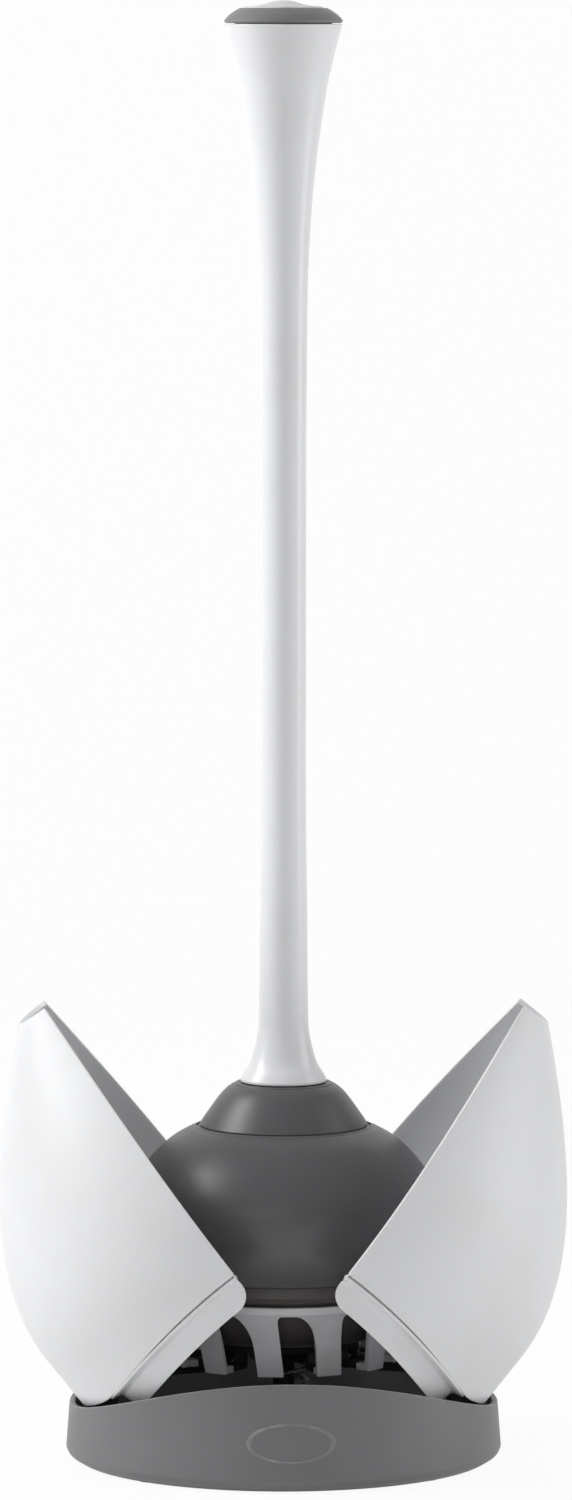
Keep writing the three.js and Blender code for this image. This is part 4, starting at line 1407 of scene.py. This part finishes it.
def makeCage(s):
    parts = [cageWall(s)]
    low = s["top"] - s["ring"]
    bore = s["radius"] - s["wall"] - 0.2
    bm = bmesh.new()
    turnedRings(bm, rounded([
        (bore, low, 0.4), (s["radius"], low, 0.45), (s["radius"], s["top"], 0.9), (bore, s["top"], 0.5),
    ], 6), 192)
    parts.append(objectFrom("ring", bm))
    foot, reach = s["footHeight"], s["footRadius"]
    top = foot + s["foot"]
    inner = reach - s["footReach"] + hubSize["gap"] / 2
    outline = rounded([
        (reach - 0.4, foot, 0.6), (reach - 0.2, top, 0.3), (reach - s["wall"] - 0.4, top, 0.1),
        (inner, top, 0.3), (inner, foot, 0.3),
    ], 3)
    parts += [radialBar(outline, s["footWidth"], turn, s["edge"]) for turn in footTurns(s)]
    made = joined("basket", parts)
    finishPiece(made, paint["basketWhite"], "basket", ["basket"])


def makeHub(s, cage):
    plate = cage["footHeight"] + s["rise"]
    top = plate + cage["foot"]
    reach = hubRadius(top)
    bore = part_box("return_spring")[1].x / mm + 1
    bm = bmesh.new()
    turnedRings(bm, rounded([
        (bore, plate, 0.2), (reach, plate, 0.7), (reach, top, 0.7), (bore, top, 0.2),
    ], 4), 144)
    parts = [objectFrom("plate", bm)]
    low = s["sleeveLow"]
    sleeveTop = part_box("guide_post")[1].z / mm - 0.3
    slide = postSize["radius"] + s["slideGap"]
    bm = bmesh.new()
    turnedRings(bm, rounded([
        (bore, low, 0.3), (bore + s["sleeveWall"], low, 0.5), (bore + s["sleeveWall"], sleeveTop, 0.9),
        (slide, sleeveTop, 0.4), (slide, sleeveTop - 3, 0.2), (bore, sleeveTop - 3, 0.3),
    ], 4), 96)
    parts.append(objectFrom("sleeve", bm))
    foot = cage["footHeight"]
    outer = cage["footRadius"] - cage["footReach"] - s["gap"]
    outline = rounded([
        (outer, foot, 0.3), (outer, foot + cage["foot"], 0.3), (reach, foot + cage["foot"], 0.8),
        (reach - 0.3, top - 0.2, 0.8), (reach - s["riser"], top - 0.2, 0.3), (reach - s["riser"], foot, 1.4),
    ], 3)
    parts += [radialBar(outline, s["spoke"], turn, s["edge"]) for turn in footTurns(cage)]
    made = joined("basket_hub", parts)
    # the hub is painted near black as shade inside the basket
    finishPiece(made, paint["innerBlack"], "basket", ["basket_hub"])


def hubRadius(top):
    # the edge of the hub plate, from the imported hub: its farthest vertex at the plate's top
    reach = [math.hypot(v.co.x, v.co.y) / mm for v in frame["nodes"]["basket_hub"].data.vertices
             if abs(v.co.z / mm - top) < 0.3]
    return max(reach)


makeCage(basketSize)
makeHub(hubSize, basketSize)
print("basket and hub made")

# floor, backdrop and light
studio = {
    "floorWidth": 5.0,
    "floorFront": -3.6,
    "floorBack": 1.4,
    "sweep": 0.8,
    "sweepSteps": 24,
    "wallTop": 3.2,
    "floorColour": (0.93, 0.93, 0.93),
    "glow": 0.93,         # how much of the floor's white shows by itself
    "shine": 0.7,         # and how much of that shows in what reflects it
    "sky": 0.415,
    "key": {"place": (-1.75, 0.1, 1.35), "aim": (0, 0, 0.24), "size": (0.8, 1.4), "power": 31},
    "fill": {"place": (2.1, -0.1, 0.8), "aim": (0, 0, 0.26), "size": (0.9, 1.6), "power": 15},
    "front": {"place": (-0.9, -3.2, 1.5), "aim": (0, 0, 0.25), "size": (1.6, 1.6), "power": 5},
}


def makeStage(s):
    bm = bmesh.new()
    half = s["floorWidth"] / 2
    line = [(s["floorFront"], 0.0), (s["floorBack"], 0.0)]
    for k in range(1, s["sweepSteps"] + 1):
        a = math.pi / 2 * k / s["sweepSteps"]
        line.append((s["floorBack"] + s["sweep"] * math.sin(a), s["sweep"] * (1 - math.cos(a))))
    line.append((s["floorBack"] + s["sweep"], s["wallTop"]))
    rows = [[bm.verts.new((x, y, z)) for x in (-half, half)] for y, z in line]
    gridFaces(bm, rows)
    bm.normal_update()
    if next(iter(bm.faces)).normal.z < 0:
        bmesh.ops.reverse_faces(bm, faces=bm.faces)
    floor = objectFrom("floor", bm, normals=False)
    floor.data.polygons.foreach_set("use_smooth", [True] * len(floor.data.polygons))
    material = bpy.data.materials.new("floorPale")
    material.use_nodes = True
    tree = material.node_tree
    shader = tree.nodes["Principled BSDF"]
    shader.inputs["Base Color"].default_value = (*s["floorColour"], 1)
    shader.inputs["Roughness"].default_value = 0.8
    glow = tree.nodes.new("ShaderNodeEmission")
    glow.inputs["Color"].default_value = (1, 1, 1, 1)
    path = tree.nodes.new("ShaderNodeLightPath")
    mix = tree.nodes.new("ShaderNodeMixShader")
    seen = mathNode(tree, "MULTIPLY", path.outputs["Is Glossy Ray"], s["shine"])
    seen = mathNode(tree, "MAXIMUM", seen, path.outputs["Is Camera Ray"])
    share = mathNode(tree, "MULTIPLY", seen, s["glow"])
    tree.links.new(share, mix.inputs[0])
    tree.links.new(shader.outputs[0], mix.inputs[1])
    tree.links.new(glow.outputs[0], mix.inputs[2])
    # from behind, the backdrop is clear
    clear = tree.nodes.new("ShaderNodeBsdfTransparent")
    side = tree.nodes.new("ShaderNodeNewGeometry")
    both = tree.nodes.new("ShaderNodeMixShader")
    tree.links.new(side.outputs["Backfacing"], both.inputs[0])
    tree.links.new(mix.outputs[0], both.inputs[1])
    tree.links.new(clear.outputs[0], both.inputs[2])
    tree.links.new(both.outputs[0], tree.nodes["Material Output"].inputs["Surface"])
    floor.data.materials.append(material)


def makeLights(s):
    world = bpy.data.worlds.new("studio")
    scene.world = world
    world.use_nodes = True
    sky = world.node_tree.nodes["Background"]
    sky.inputs["Color"].default_value = (1, 1, 1, 1)
    sky.inputs["Strength"].default_value = s["sky"]
    for name in ("key", "fill", "front"):
        lamp = s[name]
        data = bpy.data.lights.new(name, "AREA")
        data.shape = "RECTANGLE"
        data.size, data.size_y = lamp["size"]
        data.energy = lamp["power"]
        light = bpy.data.objects.new(name, data)
        light.location = lamp["place"]
        aim = Vector(lamp["aim"]) - Vector(lamp["place"])
        light.rotation_euler = aim.to_track_quat("-Z", "Y").to_euler()
        scene.collection.objects.link(light)
    scene.view_settings.view_transform = "Standard"


makeStage(studio)
makeLights(studio)
print("studio made")
